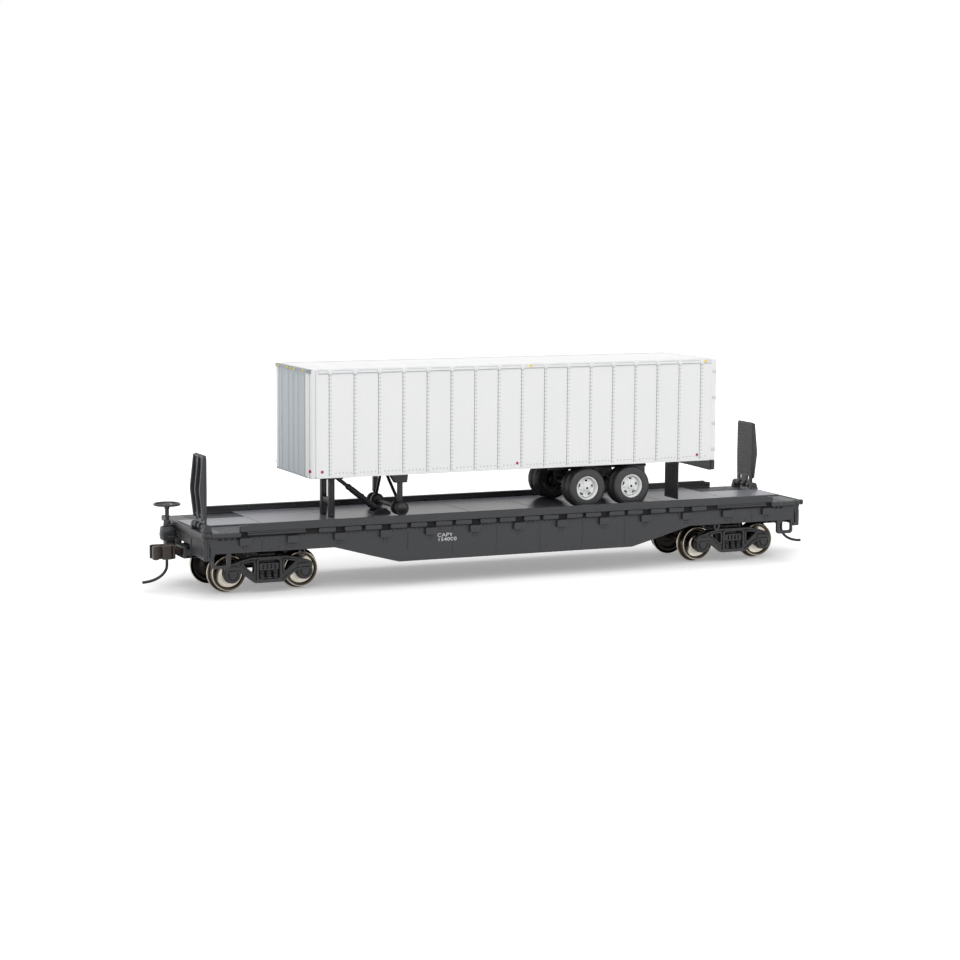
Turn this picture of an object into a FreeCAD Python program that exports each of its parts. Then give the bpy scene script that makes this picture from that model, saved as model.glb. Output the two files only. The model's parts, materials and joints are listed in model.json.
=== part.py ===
import FreeCAD, Part
import os
import re
import Sketcher
from FreeCAD import Placement, Rotation, Vector

# A 1:87 scale model of a fish-belly rail flatcar that carries a road trailer, in millimetres.
# +X runs along the car away from its brake wheel, +Z is up, and Z = 0 is the bottom of the wheel flanges.

SIZES = [
    ("deck_length", 182.0, "length of the deck"),
    ("deck_width", 37.25, "width of the deck"),
    ("deck_top", 17.6, "height of the deck's tread plate"),
    ("deck_edge", 1.1, "thickness of the deck"),
    ("plate_rise", 0.4, "rise of the smooth centre plate above the tread plate"),
    ("plate_end_width", 12.6, "width of the centre plate at the deck's ends"),
    ("plate_end_length", 20.0, "length of the narrow ends of the centre plate"),
    ("rail_inset", 10.3, "distance from the deck's end to a guard rail"),
    ("rail_rise", 2.1, "height of a guard rail above the deck"),
    ("rail_width", 1.0, "width of a guard rail"),
    ("sill_wall", 1.2, "thickness of a side sill"),
    ("sill_end_depth", 4.55, "depth of a side sill over the trucks"),
    ("sill_knee_depth", 7.55, "depth of a side sill where its slope breaks"),
    ("sill_belly_depth", 9.5, "depth of a side sill at its belly"),
    ("sill_corner_depth", 6.3, "depth of a side sill at the corner of the car"),
    ("slope_inset", 16.95, "distance from a truck pivot in to the top of the sill's slope"),
    ("knee_run", 11.0, "length of the upper part of the slope"),
    ("belly_run", 7.5, "length of the lower part of the slope"),
    ("corner_length", 1.6, "length of the deep corner of a side sill"),
    ("pocket_count", 13, "stake pockets on each side"),
    ("pocket_inset", 11.86, "distance from the deck's end to the first stake pocket"),
    ("pocket_width", 2.6, "width of a stake pocket"),
    ("pocket_proud", 0.9, "how far a stake pocket stands out of its sill"),
    ("pocket_tall", 1.5, "height of a stake pocket"),
    ("pocket_drop", 1.0, "gap from the deck down to a stake pocket"),
    ("end_plate", 1.0, "thickness of an end sill"),
    ("end_inset", 0.6, "overhang of the deck past an end sill"),
    ("end_centre_depth", 3.6, "depth of an end sill over the coupler"),
    ("end_gap_width", 10.0, "width of the opening for the coupler in an end sill"),
    ("centre_width", 6.4, "width of the centre sill"),
    ("centre_depth", 7.6, "depth of the centre sill at mid car"),
    ("centre_end_depth", 4.3, "depth of the centre sill over the trucks"),
    ("bearer_width", 1.6, "thickness of a cross bearer"),
    ("bearer_depth", 4.0, "depth of a cross bearer"),
    ("bolster_width", 7.0, "width of a body bolster along the car"),
    ("bolster_depth", 4.6, "depth of a body bolster"),
    ("truck_inset", 20.05, "distance from the deck's end to a truck pivot"),
    ("pivot_radius", 1.2, "radius of a truck's king pin"),
    ("pivot_head", 2.0, "radius of a king pin's head"),
    ("pivot_gap", 0.08, "running clearance of a king pin"),
    ("centre_bowl", 3.4, "radius of a centre plate between body and truck"),
    ("flange_radius", 5.45, "radius of a wheel flange"),
    ("tread_radius", 4.8, "radius of a wheel tread"),
    ("wheel_back", 7.2, "distance from mid axle to the back of a wheel"),
    ("flange_width", 0.65, "width of a wheel flange"),
    ("wheel_width", 2.8, "width of a wheel"),
    ("wheel_web", 1.3, "thickness of a wheel's web"),
    ("rim_depth", 0.9, "thickness of a wheel's rim below the tread"),
    ("hub_radius", 1.6, "radius of a wheel's hub"),
    ("axle_radius", 0.75, "radius of an axle"),
    ("journal_gap", 0.06, "running clearance of an axle in its side frame"),
    ("journal_bite", 1.0, "how far an axle reaches into a side frame"),
    ("end_play", 0.15, "end play of an axle"),
    ("wheelbase", 20.2, "distance between the axles of a truck"),
    ("frame_inner", 11.6, "distance from mid car to the inside of a side frame"),
    ("frame_wall", 1.9, "thickness of a side frame"),
    ("frame_top", 8.25, "height of a side frame's top"),
    ("frame_foot", 1.95, "height of a side frame's foot"),
    ("frame_foot_half", 4.3, "half length of a side frame's foot"),
    ("journal_half", 2.1, "half length of a journal box"),
    ("window_half", 2.9, "half width of a side frame's window"),
    ("frame_chord", 1.0, "thickness of a side frame's chords"),
    ("truck_bolster_width", 5.0, "width of a truck bolster"),
    ("truck_bolster_depth", 2.4, "depth of a truck bolster"),
    ("bowl_gap", 0.1, "gap between a body centre plate and its truck bolster"),
    ("bowl_height", 0.9, "height of a body centre plate"),
    ("coupler_height", 10.65, "height of the coupler's centre line"),
    ("coupler_pivot", 4.2, "distance from the deck's end back to a coupler's pivot"),
    ("coupler_eye", 1.9, "radius of a coupler's eye"),
    ("coupler_post", 0.9, "radius of the post that a coupler turns on"),
    ("coupler_gap", 0.08, "running clearance of a coupler on its post"),
    ("shank_width", 1.8, "width of a coupler's shank"),
    ("shank_tall", 1.5, "height of a coupler's shank"),
    ("head_start", 2.1, "distance from the deck's end out to a coupler's head"),
    ("head_length", 6.3, "length of a coupler's head"),
    ("head_tall", 3.8, "height of a coupler's head"),
    ("head_width", 4.6, "width of a coupler's head"),
    ("draft_width", 7.6, "width of a draft gear box"),
    ("draft_wall", 0.7, "wall of a draft gear box"),
    ("draft_length", 7.4, "length of a draft gear box"),
    ("draft_proud", 0.6, "how far a draft gear box stands out of the deck's end"),
    ("pin_wire", 0.4, "radius of the wire of a trip pin"),
    ("pin_sweep", 7.2, "reach of a trip pin's curve"),
    ("pin_drop", 7.9, "drop of a trip pin below the coupler's centre line"),
    ("step_gap", 0.3, "gap between a corner step and the deep corner of its sill"),
    ("step_width", 5.4, "width of a corner step"),
    ("step_drop", 3.9, "drop of a corner step below its sill"),
    ("step_bar", 0.8, "thickness of a corner step's bar"),
    ("brake_offset", 8.5, "distance of the brake staff from the car's centre line"),
    ("brake_inset", 2.1, "distance of the brake staff outside the deck's end"),
    ("brake_top", 22.5, "height of the brake wheel"),
    ("brake_radius", 3.6, "radius of the brake wheel"),
    ("brake_rim", 0.38, "radius of the brake wheel's rim section"),
    ("staff_radius", 0.55, "radius of the brake staff"),
    ("bridge_inset", 1.6, "distance of a bridge plate's hinge from the deck's end"),
    ("bridge_hinge_rise", 1.35, "height of a bridge plate's hinge above the deck"),
    ("bridge_edge", 0.575, "distance from the deck's edge to a bridge plate's outer lug"),
    ("bridge_foot_width", 8.4, "width of a bridge plate at its foot"),
    ("bridge_width", 8.9, "width of a bridge plate at its widest"),
    ("bridge_length", 18.9, "length of a bridge plate above its hinge"),
    ("bridge_wall", 0.7, "thickness of a bridge plate's skin"),
    ("bridge_rib", 1.7, "depth of a bridge plate's ribs at mid length"),
    ("bridge_rib_foot", 0.7, "depth of a bridge plate's ribs at their ends"),
    ("hinge_pin", 0.5, "radius of a bridge plate's hinge pin"),
    ("hinge_gap", 0.06, "running clearance of a hinge pin"),
    ("hinge_sleeve", 0.95, "radius of a bridge plate's hinge sleeve and lugs"),
    ("hinge_lug", 1.5, "width of a hinge lug"),
    ("side_gap", 0.15, "gap between a hinge sleeve and its lugs"),
    ("trailer_nose", 59.8, "distance from mid car to the trailer's nose"),
    ("trailer_length", 123.4, "length of the trailer"),
    ("trailer_width", 28.9, "width of the trailer"),
    ("trailer_tall", 29.1, "height of the trailer's body"),
    ("trailer_wall", 0.8, "wall of the trailer's body"),
    ("nose_radius", 2.3, "radius of the trailer's front corners"),
    ("post_depth", 1.8, "depth of the trailer's rear frame"),
    ("coaming_tall", 1.1, "height of the rail along the trailer's roof edge"),
    ("coaming_proud", 0.25, "how far the roof rail stands out of the side"),
    ("tyre_radius", 5.65, "radius of a trailer tyre"),
    ("tyre_width", 2.7, "width of a trailer tyre"),
    ("tyre_gap", 0.5, "gap between a pair of tyres"),
    ("tyre_inset", 0.55, "distance from the trailer's side in to the outer tyre"),
    ("tyre_clearance", 0.1, "clearance of the tyres above the deck"),
    ("tyre_round", 0.7, "rounding of a tyre's shoulder"),
    ("rim_radius", 3.35, "radius of a trailer wheel's rim"),
    ("rim_inset", 0.3, "depth of a rim inside its tyre"),
    ("tyre_headroom", 0.75, "gap between a tyre and the bottom of the trailer's side"),
    ("tandem_inset", 33.45, "distance from the trailer's rear to the middle of its axles"),
    ("tandem_pitch", 14.0, "distance between the trailer's axles"),
    ("trailer_axle", 0.9, "radius of the trailer's axles"),
    ("trailer_axle_gap", 0.08, "running clearance of the trailer's axles"),
    ("hanger_width", 2.6, "width of a spring hanger along the trailer"),
    ("hanger_wall", 1.2, "thickness of a spring hanger"),
    ("hanger_gap", 1.1, "gap between a spring hanger and the collar of a wheel"),
    ("collar_length", 0.6, "length of the collar inside a trailer wheel"),
    ("floor_recess", 0.2, "height of the trailer's floor above the bottom of its sides"),
    ("bogie_rail_tall", 2.0, "height of the trailer's bogie rails"),
    ("bogie_reach", 15.5, "half length of the trailer's bogie rails"),
    ("leg_inset", 26.6, "distance from the trailer's nose to the landing gear"),
    ("leg_side", 2.05, "distance from the trailer's side in to a landing leg"),
    ("leg_size", 1.5, "width of a landing leg"),
    ("foot_rise", 1.2, "gap between a landing wheel and the deck"),
    ("foot_radius", 2.0, "radius of a landing wheel"),
    ("foot_width", 1.4, "width of a landing wheel"),
    ("foot_axle", 0.5, "radius of the landing gear's axle"),
    ("gearbox_length", 5.0, "length of a landing gear bracket"),
    ("gearbox_tall", 2.7, "height of a landing gear bracket"),
    ("brace_radius", 0.45, "radius of a landing gear brace"),
    ("hitch_inset", 7.3, "distance from the trailer's nose to the front of the hitch plate"),
    ("hitch_length", 5.8, "length of the hitch plate"),
    ("hitch_width", 11.0, "width of the hitch plate"),
    ("hitch_plate", 0.8, "thickness of the hitch plate"),
    ("kingpin_slab_length", 12.7, "length of the plate under the trailer's nose"),
    ("coupler_plate", 0.8, "thickness of the plate under the trailer's nose"),
    ("hitch_leg", 1.8, "width of a hitch leg"),
    ("hitch_leg_offset", 4.2, "distance from the centre line to a hitch leg"),
    ("hitch_bar_rise", 3.6, "height of the hitch's cross bar above the deck"),
    ("hitch_bar_tall", 1.6, "height of the hitch's cross bar"),
    ("strut_run", 11.0, "length of the hitch strut along the car"),
    ("strut_radius", 0.75, "radius of the hitch strut"),
    ("strut_sleeve", 1.15, "radius of the hitch strut's sleeve"),
    ("kingpin_radius", 0.8, "radius of the trailer's kingpin"),
    ("kingpin_gap", 0.1, "clearance of the kingpin in the hitch plate"),
    ("flap_inset", 11.7, "distance from the trailer's rear to the mud flaps"),
    ("flap_side", 0.45, "distance from the trailer's side in to a mud flap"),
    ("flap_width", 7.7, "width of a mud flap"),
    ("flap_drop", 10.9, "length of a mud flap"),
    ("flap_wall", 0.6, "thickness of a mud flap"),
    ("bumper_length", 11.3, "length of the rear bumper's gussets"),
    ("bumper_drop", 2.8, "drop of the rear bumper"),
    ("bumper_wall", 1.2, "thickness of the rear bumper's gussets"),
    ("bumper_bar", 1.4, "thickness of the rear bumper's bar"),
    ("spring_radius", 0.8, "radius of a truck spring"),
    ("spring_count", 3, "springs seen in each side frame"),
    ("window_gap", 0.08, "clearance of a truck bolster's end in its window"),
    ("spring_tall", 2.4, "height of a truck spring"),
    ("door_edge", 1.2, "width of the trailer's rear posts"),
    ("door_inset", 0.4, "depth of the trailer's doors inside their frame"),
]

NAMES = {alias for alias, _, _ in SIZES}
WORD = re.compile(r"[a-z]\w+")
TURNS = {
    "x": Rotation(Vector(0, 1, 0), 90),
    "y": Rotation(Vector(1, 0, 0), -90),
    "z": Rotation(),
}
AXES = "xyz"

doc = FreeCAD.newDocument("FlatcarWithTrailer")
sheet = doc.addObject("Spreadsheet::Sheet", "Sizes")
for row, (alias, size, meaning) in enumerate(SIZES, start=1):
    sheet.set(f"A{row}", meaning)
    sheet.set(f"B{row}", str(size))
    sheet.setAlias(f"B{row}", alias)
doc.recompute()

nodes = []

# Heights and places that several sub-parts share, as expressions of the sizes above.
DECK_END = "deck_length/2"
DECK_UNDER = "(deck_top - deck_edge)"
PLATE_TOP = "(deck_top + plate_rise)"
SILL_FACE = "(deck_width/2 - pocket_proud - 0.1)"
SILL_INSIDE = f"({SILL_FACE} - sill_wall)"
END_FACE = f"({DECK_END} - end_inset)"
END_INSIDE = f"({END_FACE} - end_plate)"
PIVOT = f"({DECK_END} - truck_inset)"
SLOPE = f"({PIVOT} - slope_inset)"
KNEE = f"({SLOPE} - knee_run)"
BELLY = f"({KNEE} - belly_run)"
CORNER = f"({END_INSIDE} - corner_length)"
BEARER_PITCH = f"(({PIVOT} - bolster_width/2)/3)"
POCKET_PITCH = "((deck_length - 2*pocket_inset)/(pocket_count - 1))"
BODY_BOLSTER_UNDER = f"({DECK_UNDER} - bolster_depth)"
BOWL_UNDER = f"({BODY_BOLSTER_UNDER} - bowl_height)"
TRUCK_BOLSTER_TOP = f"({BOWL_UNDER} - bowl_gap)"
TRUCK_BOLSTER_UNDER = f"({TRUCK_BOLSTER_TOP} - truck_bolster_depth)"
FRAME_SHELF = "(frame_top - frame_chord)"
DRAFT_TOP = "(coupler_height + shank_tall/2 + 0.1 + draft_wall)"
DRAFT_UNDER = "(coupler_height - shank_tall/2 - 0.1 - draft_wall)"
BRIDGE_INNER = "(deck_width/2 - bridge_edge - hinge_lug - side_gap - bridge_foot_width)"
TYRE_HUB = f"({PLATE_TOP} + tyre_clearance + tyre_radius)"
TRAILER_UNDER = f"({TYRE_HUB} + tyre_radius + tyre_headroom)"
FLOOR_UNDER = f"({TRAILER_UNDER} + floor_recess)"
TRAILER_ROOF = f"({TRAILER_UNDER} + trailer_tall)"
TRAILER_REAR = "(trailer_length - trailer_nose)"
TRAILER_SIDE = "(trailer_width/2)"
TYRE_OUTER = f"({TRAILER_SIDE} - tyre_inset)"
RIM_INNER = f"({TYRE_OUTER} - 2*tyre_width - tyre_gap + rim_inset)"
TANDEM = f"({TRAILER_REAR} - tandem_inset)"
HANGER = f"({RIM_INNER} - collar_length - hanger_gap - hanger_wall/2)"
LEG_PLACE = "(leg_inset - trailer_nose)"
LEG_OFFSET = f"({TRAILER_SIDE} - leg_side)"
FOOT_HUB = f"({PLATE_TOP} + foot_rise + foot_radius)"
HITCH_TOP = f"({TRAILER_UNDER} - coupler_plate)"
HITCH_UNDER = f"({HITCH_TOP} - hitch_plate)"
HITCH_MIDDLE = "(hitch_inset + hitch_length/2 - trailer_nose)"


def bound(text):
    """Point each size named in an expression at its cell in the sheet."""
    return WORD.sub(lambda word: f"Sizes.{word[0]}" if word[0] in NAMES else word[0], str(text))


def value(text):
    """Work an expression of the sizes out as a number."""
    return float(sheet.evalExpression(bound(text)))


def bind(item, path, text):
    """Bind one property of an object to an expression of the sizes."""
    item.setExpression(path, bound(text))


def mirrored(side, low, high):
    """Return a stretch from low to high, or its mirror image when side is negative."""
    return (low, high) if side > 0 else (f"-({high})", f"-({low})")


def about(middle, width):
    """Return a stretch of the given width about its middle."""
    return (f"{middle} - ({width})/2", f"{middle} + ({width})/2")


def signed(side, text):
    """Return an expression, or its negative when side is negative."""
    return f"{side}*({text})"


def block(name, x, y, z):
    """Add a box from a low and a high expression on each axis."""
    box = doc.addObject("Part::Box", name)
    for edge, axis, (low, high) in zip(("Length", "Width", "Height"), AXES, (x, y, z)):
        bind(box, edge, f"({high}) - ({low})")
        bind(box, f"Placement.Base.{axis}", low)
    return box


def round_bar(name, axis, stretch, centre, radius):
    """Add a cylinder along an axis over a stretch, centred on the other two axes."""
    bar = doc.addObject("Part::Cylinder", name)
    bar.Placement = Placement(Vector(), TURNS[axis])
    bind(bar, "Radius", radius)
    bind(bar, "Height", f"({stretch[1]}) - ({stretch[0]})")
    bind(bar, f"Placement.Base.{axis}", stretch[0])
    for other, place in zip(AXES.replace(axis, ""), centre):
        bind(bar, f"Placement.Base.{other}", place)
    return bar


def join(name, pieces):
    """Fuse pieces into one solid."""
    fused = doc.addObject("Part::MultiFuse", name)
    fused.Shapes = pieces
    fused.Refine = True
    return fused


def carve(name, base, tools):
    """Cut one or more tools out of a piece."""
    cut = doc.addObject("Part::Cut", name)
    cut.Base = base
    cut.Tool = tools[0] if len(tools) == 1 else group(f"{name}_tools", tools)
    cut.Refine = True
    return cut


def group(name, pieces):
    """Keep like pieces that don't touch together in one sub-part."""
    together = doc.addObject("Part::Compound", name)
    together.Links = pieces
    return together


def node(item, label=None):
    """Give a sub-part its name and list it for export."""
    item.Label = label or item.Name
    nodes.append(item)
    return item


def draw(body, name, plane, outlines):
    """Add a sketch of closed outlines, each corner held by two expressions from the origin."""
    sketch = body.newObject("Sketcher::SketchObject", name)
    origin = next(item for item in body.Origin.OriginFeatures if item.Role == plane)
    sketch.AttachmentSupport = (origin, [""])
    sketch.MapMode = "FlatFace"
    for outline in outlines:
        first = sketch.GeometryCount
        corners = [Vector(value(across), value(up), 0) for across, up in outline]
        ends = corners[1:] + corners[:1]
        for start, end in zip(corners, ends):
            sketch.addGeometry(Part.LineSegment(start, end), False)
        for offset, (across, up) in enumerate(outline):
            edge = first + offset
            following = first + (offset + 1) % len(outline)
            sketch.addConstraint(Sketcher.Constraint("Coincident", edge, 2, following, 1))
            for kind, text in (("DistanceX", across), ("DistanceY", up)):
                held = sketch.addConstraint(Sketcher.Constraint(kind, -1, 1, edge, 1, value(text)))
                bind(sketch, f"Constraints[{held}]", text)
    return sketch


def plate(name, plane, outlines, thickness, base):
    """Add a body padded both ways from a sketch, placed by an expression on each axis."""
    body = doc.addObject("PartDesign::Body", name)
    sketch = draw(body, f"{name}_outline", plane, outlines)
    pad = body.newObject("PartDesign::Pad", f"{name}_pad")
    pad.Profile = sketch
    pad.SideType = "Symmetric"
    bind(pad, "Length", thickness)
    for axis, place in zip(AXES, base):
        bind(body, f"Placement.Base.{axis}", place)
    return body


def turned(name, outline, base):
    """Add a body turned about its own Y axis from radius and reach pairs."""
    body = doc.addObject("PartDesign::Body", name)
    sketch = draw(body, f"{name}_outline", "XY_Plane", [outline])
    spin = body.newObject("PartDesign::Revolution", f"{name}_spin")
    spin.Profile = sketch
    spin.ReferenceAxis = (sketch, ["V_Axis"])
    spin.Angle = 360
    for axis, place in zip(AXES, base):
        bind(body, f"Placement.Base.{axis}", place)
    return body


def pocket_places():
    """Return the place along the car of each stake pocket."""
    return [f"({index} - (pocket_count - 1)/2)*{POCKET_PITCH}" for index in range(int(value("pocket_count")))]


def make_deck():
    """Deck: a slab with a notch over each stake pocket, and its smooth raised centre plate."""
    half = "deck_width/2"
    slab = block("deck_slab", (f"-{DECK_END}", DECK_END), (f"-{half}", half), (DECK_UNDER, "deck_top"))
    notches = []
    deep = (f"{DECK_UNDER} - 1", "deck_top + 1")
    for side in (-1, 1):
        across = mirrored(side, SILL_FACE, f"{half} + 1")
        for index, place in enumerate(pocket_places()):
            notches.append(block(f"notch_{index}_{side + 1}", about(place, "pocket_width*0.8"), across, deep))
    node(carve("deck", slab, notches))
    wide = f"({half} - rail_width)"
    wide_end = f"({DECK_END} - plate_end_length)"
    height = ("deck_top", PLATE_TOP)
    long_part = block("plate_long", (f"-{DECK_END}", DECK_END), about("0", "plate_end_width"), height)
    wide_part = block("plate_wide", (f"-{wide_end}", wide_end), (f"-{wide}", wide), height)
    node(join("deck_centre_plate", [long_part, wide_part]))


def make_guard_rails():
    """Guard rails: one along each edge of the deck."""
    rails = []
    reach = f"({DECK_END} - rail_inset)"
    for side in (-1, 1):
        across = mirrored(side, "deck_width/2 - rail_width", "deck_width/2")
        rails.append(block(f"guard_rail_{side + 1}", (f"-{reach}", reach), across, ("deck_top", "deck_top + rail_rise")))
    node(group("guard_rails", rails))


def make_side_sills():
    """Side sills: fish-belly plates with a deep corner at each end, and their stake pockets."""
    half = [
        (END_INSIDE, "0"),
        (END_INSIDE, "-sill_corner_depth"),
        (f"{CORNER} + corner_length/3", "-sill_corner_depth"),
        (CORNER, "-sill_end_depth"),
        (SLOPE, "-sill_end_depth"),
        (KNEE, "-sill_knee_depth"),
        (BELLY, "-sill_belly_depth"),
    ]
    outline = half + [(f"-({across})", up) for across, up in reversed(half)]
    pockets = []
    top = f"({DECK_UNDER} - pocket_drop)"
    height = (f"{top} - pocket_tall", top)
    for side, word in ((-1, "left"), (1, "right")):
        middle = signed(side, f"{SILL_FACE} - sill_wall/2")
        node(plate(f"side_sill_{word}", "XZ_Plane", [outline], "sill_wall", ("0", middle, DECK_UNDER)))
        across = mirrored(side, SILL_FACE, f"{SILL_FACE} + pocket_proud")
        for index, place in enumerate(pocket_places()):
            pockets.append(block(f"pocket_{word}_{index}", about(place, "pocket_width"), across, height))
    node(group("stake_pockets", pockets))


def make_end_sill(side, word):
    """End sill: a plate across the car's end, cut away round the coupler."""
    outline = [
        (f"{SILL_FACE}", "0"),
        (f"{SILL_FACE}", "-sill_corner_depth"),
        ("end_gap_width/2", "-(sill_corner_depth - 0.6)"),
        ("end_gap_width/2", "-end_centre_depth"),
    ]
    outline += [(f"-({across})", up) for across, up in reversed(outline)]
    middle = signed(side, f"{END_FACE} - end_plate/2")
    node(plate(f"end_sill_{word}", "YZ_Plane", [outline], "end_plate", (middle, "0", DECK_UNDER)))


def make_centre_sill():
    """Centre sill between the body bolsters, cross bearers beside it and draft sills past the trucks."""
    inner = f"({PIVOT} - bolster_width/2)"
    outer = f"({PIVOT} + bolster_width/2)"
    half = [(inner, "0"), (inner, "-centre_end_depth"), (SLOPE, "-centre_end_depth"), (BELLY, "-centre_depth")]
    outline = half + [(f"-({across})", up) for across, up in reversed(half)]
    node(plate("centre_sill", "XZ_Plane", [outline], "centre_width", ("0", "0", DECK_UNDER)))
    bearers, drafts = [], []
    for side in (-1, 1):
        across = mirrored(side, "centre_width/2", SILL_INSIDE)
        for index in range(-2, 3):
            along = about(f"{index}*{BEARER_PITCH}", "bearer_width")
            height = (f"{DECK_UNDER} - bearer_depth", DECK_UNDER)
            bearers.append(block(f"bearer_{index + 2}_{side + 1}", along, across, height))
        along = mirrored(side, outer, END_INSIDE)
        drafts.append(block(f"draft_sill_{side + 1}", along, about("0", "centre_width"), (DRAFT_TOP, DECK_UNDER)))
    node(group("cross_bearers", bearers))
    node(group("draft_sills", drafts))


def make_body_bolster(side, word):
    """Body bolster with its centre plate and the headed king pin that holds the truck."""
    place = signed(side, PIVOT)
    beam = block(f"bolster_beam_{word}", about(place, "bolster_width"), (f"-{SILL_INSIDE}", SILL_INSIDE),
                 (BODY_BOLSTER_UNDER, DECK_UNDER))
    bowl = round_bar(f"bolster_bowl_{word}", "z", (BOWL_UNDER, BODY_BOLSTER_UNDER), (place, "0"), "centre_bowl")
    pin_foot = f"({TRUCK_BOLSTER_TOP} - truck_bolster_depth - bowl_gap)"
    pin = round_bar(f"king_pin_{word}", "z", (pin_foot, BODY_BOLSTER_UNDER), (place, "0"), "pivot_radius")
    head = round_bar(f"king_head_{word}", "z", (f"{pin_foot} - 0.6", pin_foot), (place, "0"), "pivot_head")
    node(join(f"body_bolster_{word}", [beam, bowl, pin, head]))


def make_truck(side, word):
    """Truck: a bolster turning on the king pin, the side frames it carries, and their springs."""
    place = signed(side, PIVOT)
    seat = "(frame_foot + frame_chord)"
    spring_top = f"({seat} + spring_tall)"
    beam = block(f"truck_beam_{word}", about(place, "truck_bolster_width"), ("-frame_inner", "frame_inner"),
                 (TRUCK_BOLSTER_UNDER, TRUCK_BOLSTER_TOP))
    parts = [beam]
    springs = []
    for hand in (-1, 1):
        drop = mirrored(hand, "frame_inner - frame_wall", "frame_inner")
        parts.append(block(f"truck_drop_{word}_{hand + 1}", about(place, "truck_bolster_width"), drop,
                           (spring_top, TRUCK_BOLSTER_UNDER)))
        end = mirrored(hand, "frame_inner", "frame_inner + frame_wall*0.8")
        parts.append(block(f"truck_end_{word}_{hand + 1}", about(place, "2*(window_half - window_gap)"), end,
                           (spring_top, f"{FRAME_SHELF} - window_gap")))
        middle = signed(hand, "frame_inner + frame_wall/2")
        for index in range(int(value("spring_count"))):
            along = f"{place} + ({index} - (spring_count - 1)/2)*(window_half*2/spring_count)"
            springs.append(round_bar(f"spring_{word}_{hand + 1}_{index}", "z", (seat, spring_top), (along, middle),
                                     "spring_radius"))
    hole = round_bar(f"truck_hole_{word}", "z", (f"{TRUCK_BOLSTER_UNDER} - 1", f"{TRUCK_BOLSTER_TOP} + 1"),
                     (place, "0"), "pivot_radius + pivot_gap")
    node(carve(f"truck_bolster_{word}", join(f"truck_beam_whole_{word}", parts), [hole]))
    node(group(f"truck_springs_{word}", springs))
    make_side_frames(side, word, place)


def make_side_frames(side, word, place):
    """Side frames: arched plates with a spring window, two lightening holes and blind axle bores."""
    end = "(wheelbase/2)"
    box_under = "(flange_radius - journal_half)"
    right = [
        ("frame_foot_half", "frame_foot"),
        (f"({end} - journal_half*0.6)", box_under),
        (f"({end} + journal_half)", box_under),
        (f"({end} + journal_half)", "flange_radius + journal_half*0.6"),
        (f"({end} + journal_half*0.2)", "frame_top - frame_chord*0.4"),
        (f"({end} - journal_half*1.7)", "frame_top"),
    ]
    outline = right + [(f"-{across}", up) for across, up in reversed(right)]
    seat = "frame_foot + frame_chord"
    window = [("-window_half", seat), ("window_half", seat), ("window_half", FRAME_SHELF), ("-window_half", FRAME_SHELF)]
    inner = "(window_half + frame_chord*0.9)"
    outer = f"({end} - journal_half*1.1)"
    light = [
        (inner, f"{FRAME_SHELF} - frame_chord*0.1"),
        (inner, "frame_foot + frame_chord*2"),
        (outer, "flange_radius + frame_chord*0.4"),
        (outer, f"{FRAME_SHELF} - frame_chord*0.1"),
    ]
    other = [(f"-{across}", up) for across, up in reversed(light)]
    frames = []
    for hand in (-1, 1):
        label = f"side_frame_{word}_{hand + 1}"
        middle = signed(hand, "frame_inner + frame_wall/2")
        solid = plate(f"{label}_plate", "XZ_Plane", [outline, window, light, other], "frame_wall", (place, middle, "0"))
        across = mirrored(hand, "frame_inner - 1", "frame_inner + journal_bite + end_play")
        holes = [
            round_bar(f"{label}_bore_{axle + 1}", "y", across, (f"{place} + {axle}*wheelbase/2", "flange_radius"),
                      "axle_radius + journal_gap")
            for axle in (-1, 1)
        ]
        frames.append(carve(label, solid, holes))
    node(group(f"truck_side_frames_{word}", frames))


def make_wheelset(side, axle, label):
    """Wheelset: two flanged wheels turned in one with their axle."""
    flange_end = "(wheel_back + flange_width)"
    face = "(wheel_back + wheel_width)"
    web_low = "(wheel_back + (wheel_width - wheel_web)/2)"
    web_high = "(wheel_back + (wheel_width + wheel_web)/2)"
    rim = "(tread_radius - rim_depth)"
    half = [
        ("0", "frame_inner + journal_bite"),
        ("axle_radius", "frame_inner + journal_bite"),
        ("axle_radius", face),
        ("hub_radius", face),
        ("hub_radius", web_high),
        (rim, web_high),
        (rim, face),
        ("tread_radius", face),
        ("tread_radius", flange_end),
        ("flange_radius", f"{flange_end} - 0.3"),
        ("flange_radius", f"wheel_back"),
        (rim, "wheel_back"),
        (rim, web_low),
        ("hub_radius", web_low),
        ("hub_radius", "wheel_back"),
        ("axle_radius", "wheel_back"),
    ]
    outline = half + [(across, f"-({up})") for across, up in reversed(half)]
    place = f"{signed(side, PIVOT)} + {axle}*wheelbase/2"
    node(turned(label, outline, (place, "0", "flange_radius")))


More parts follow.
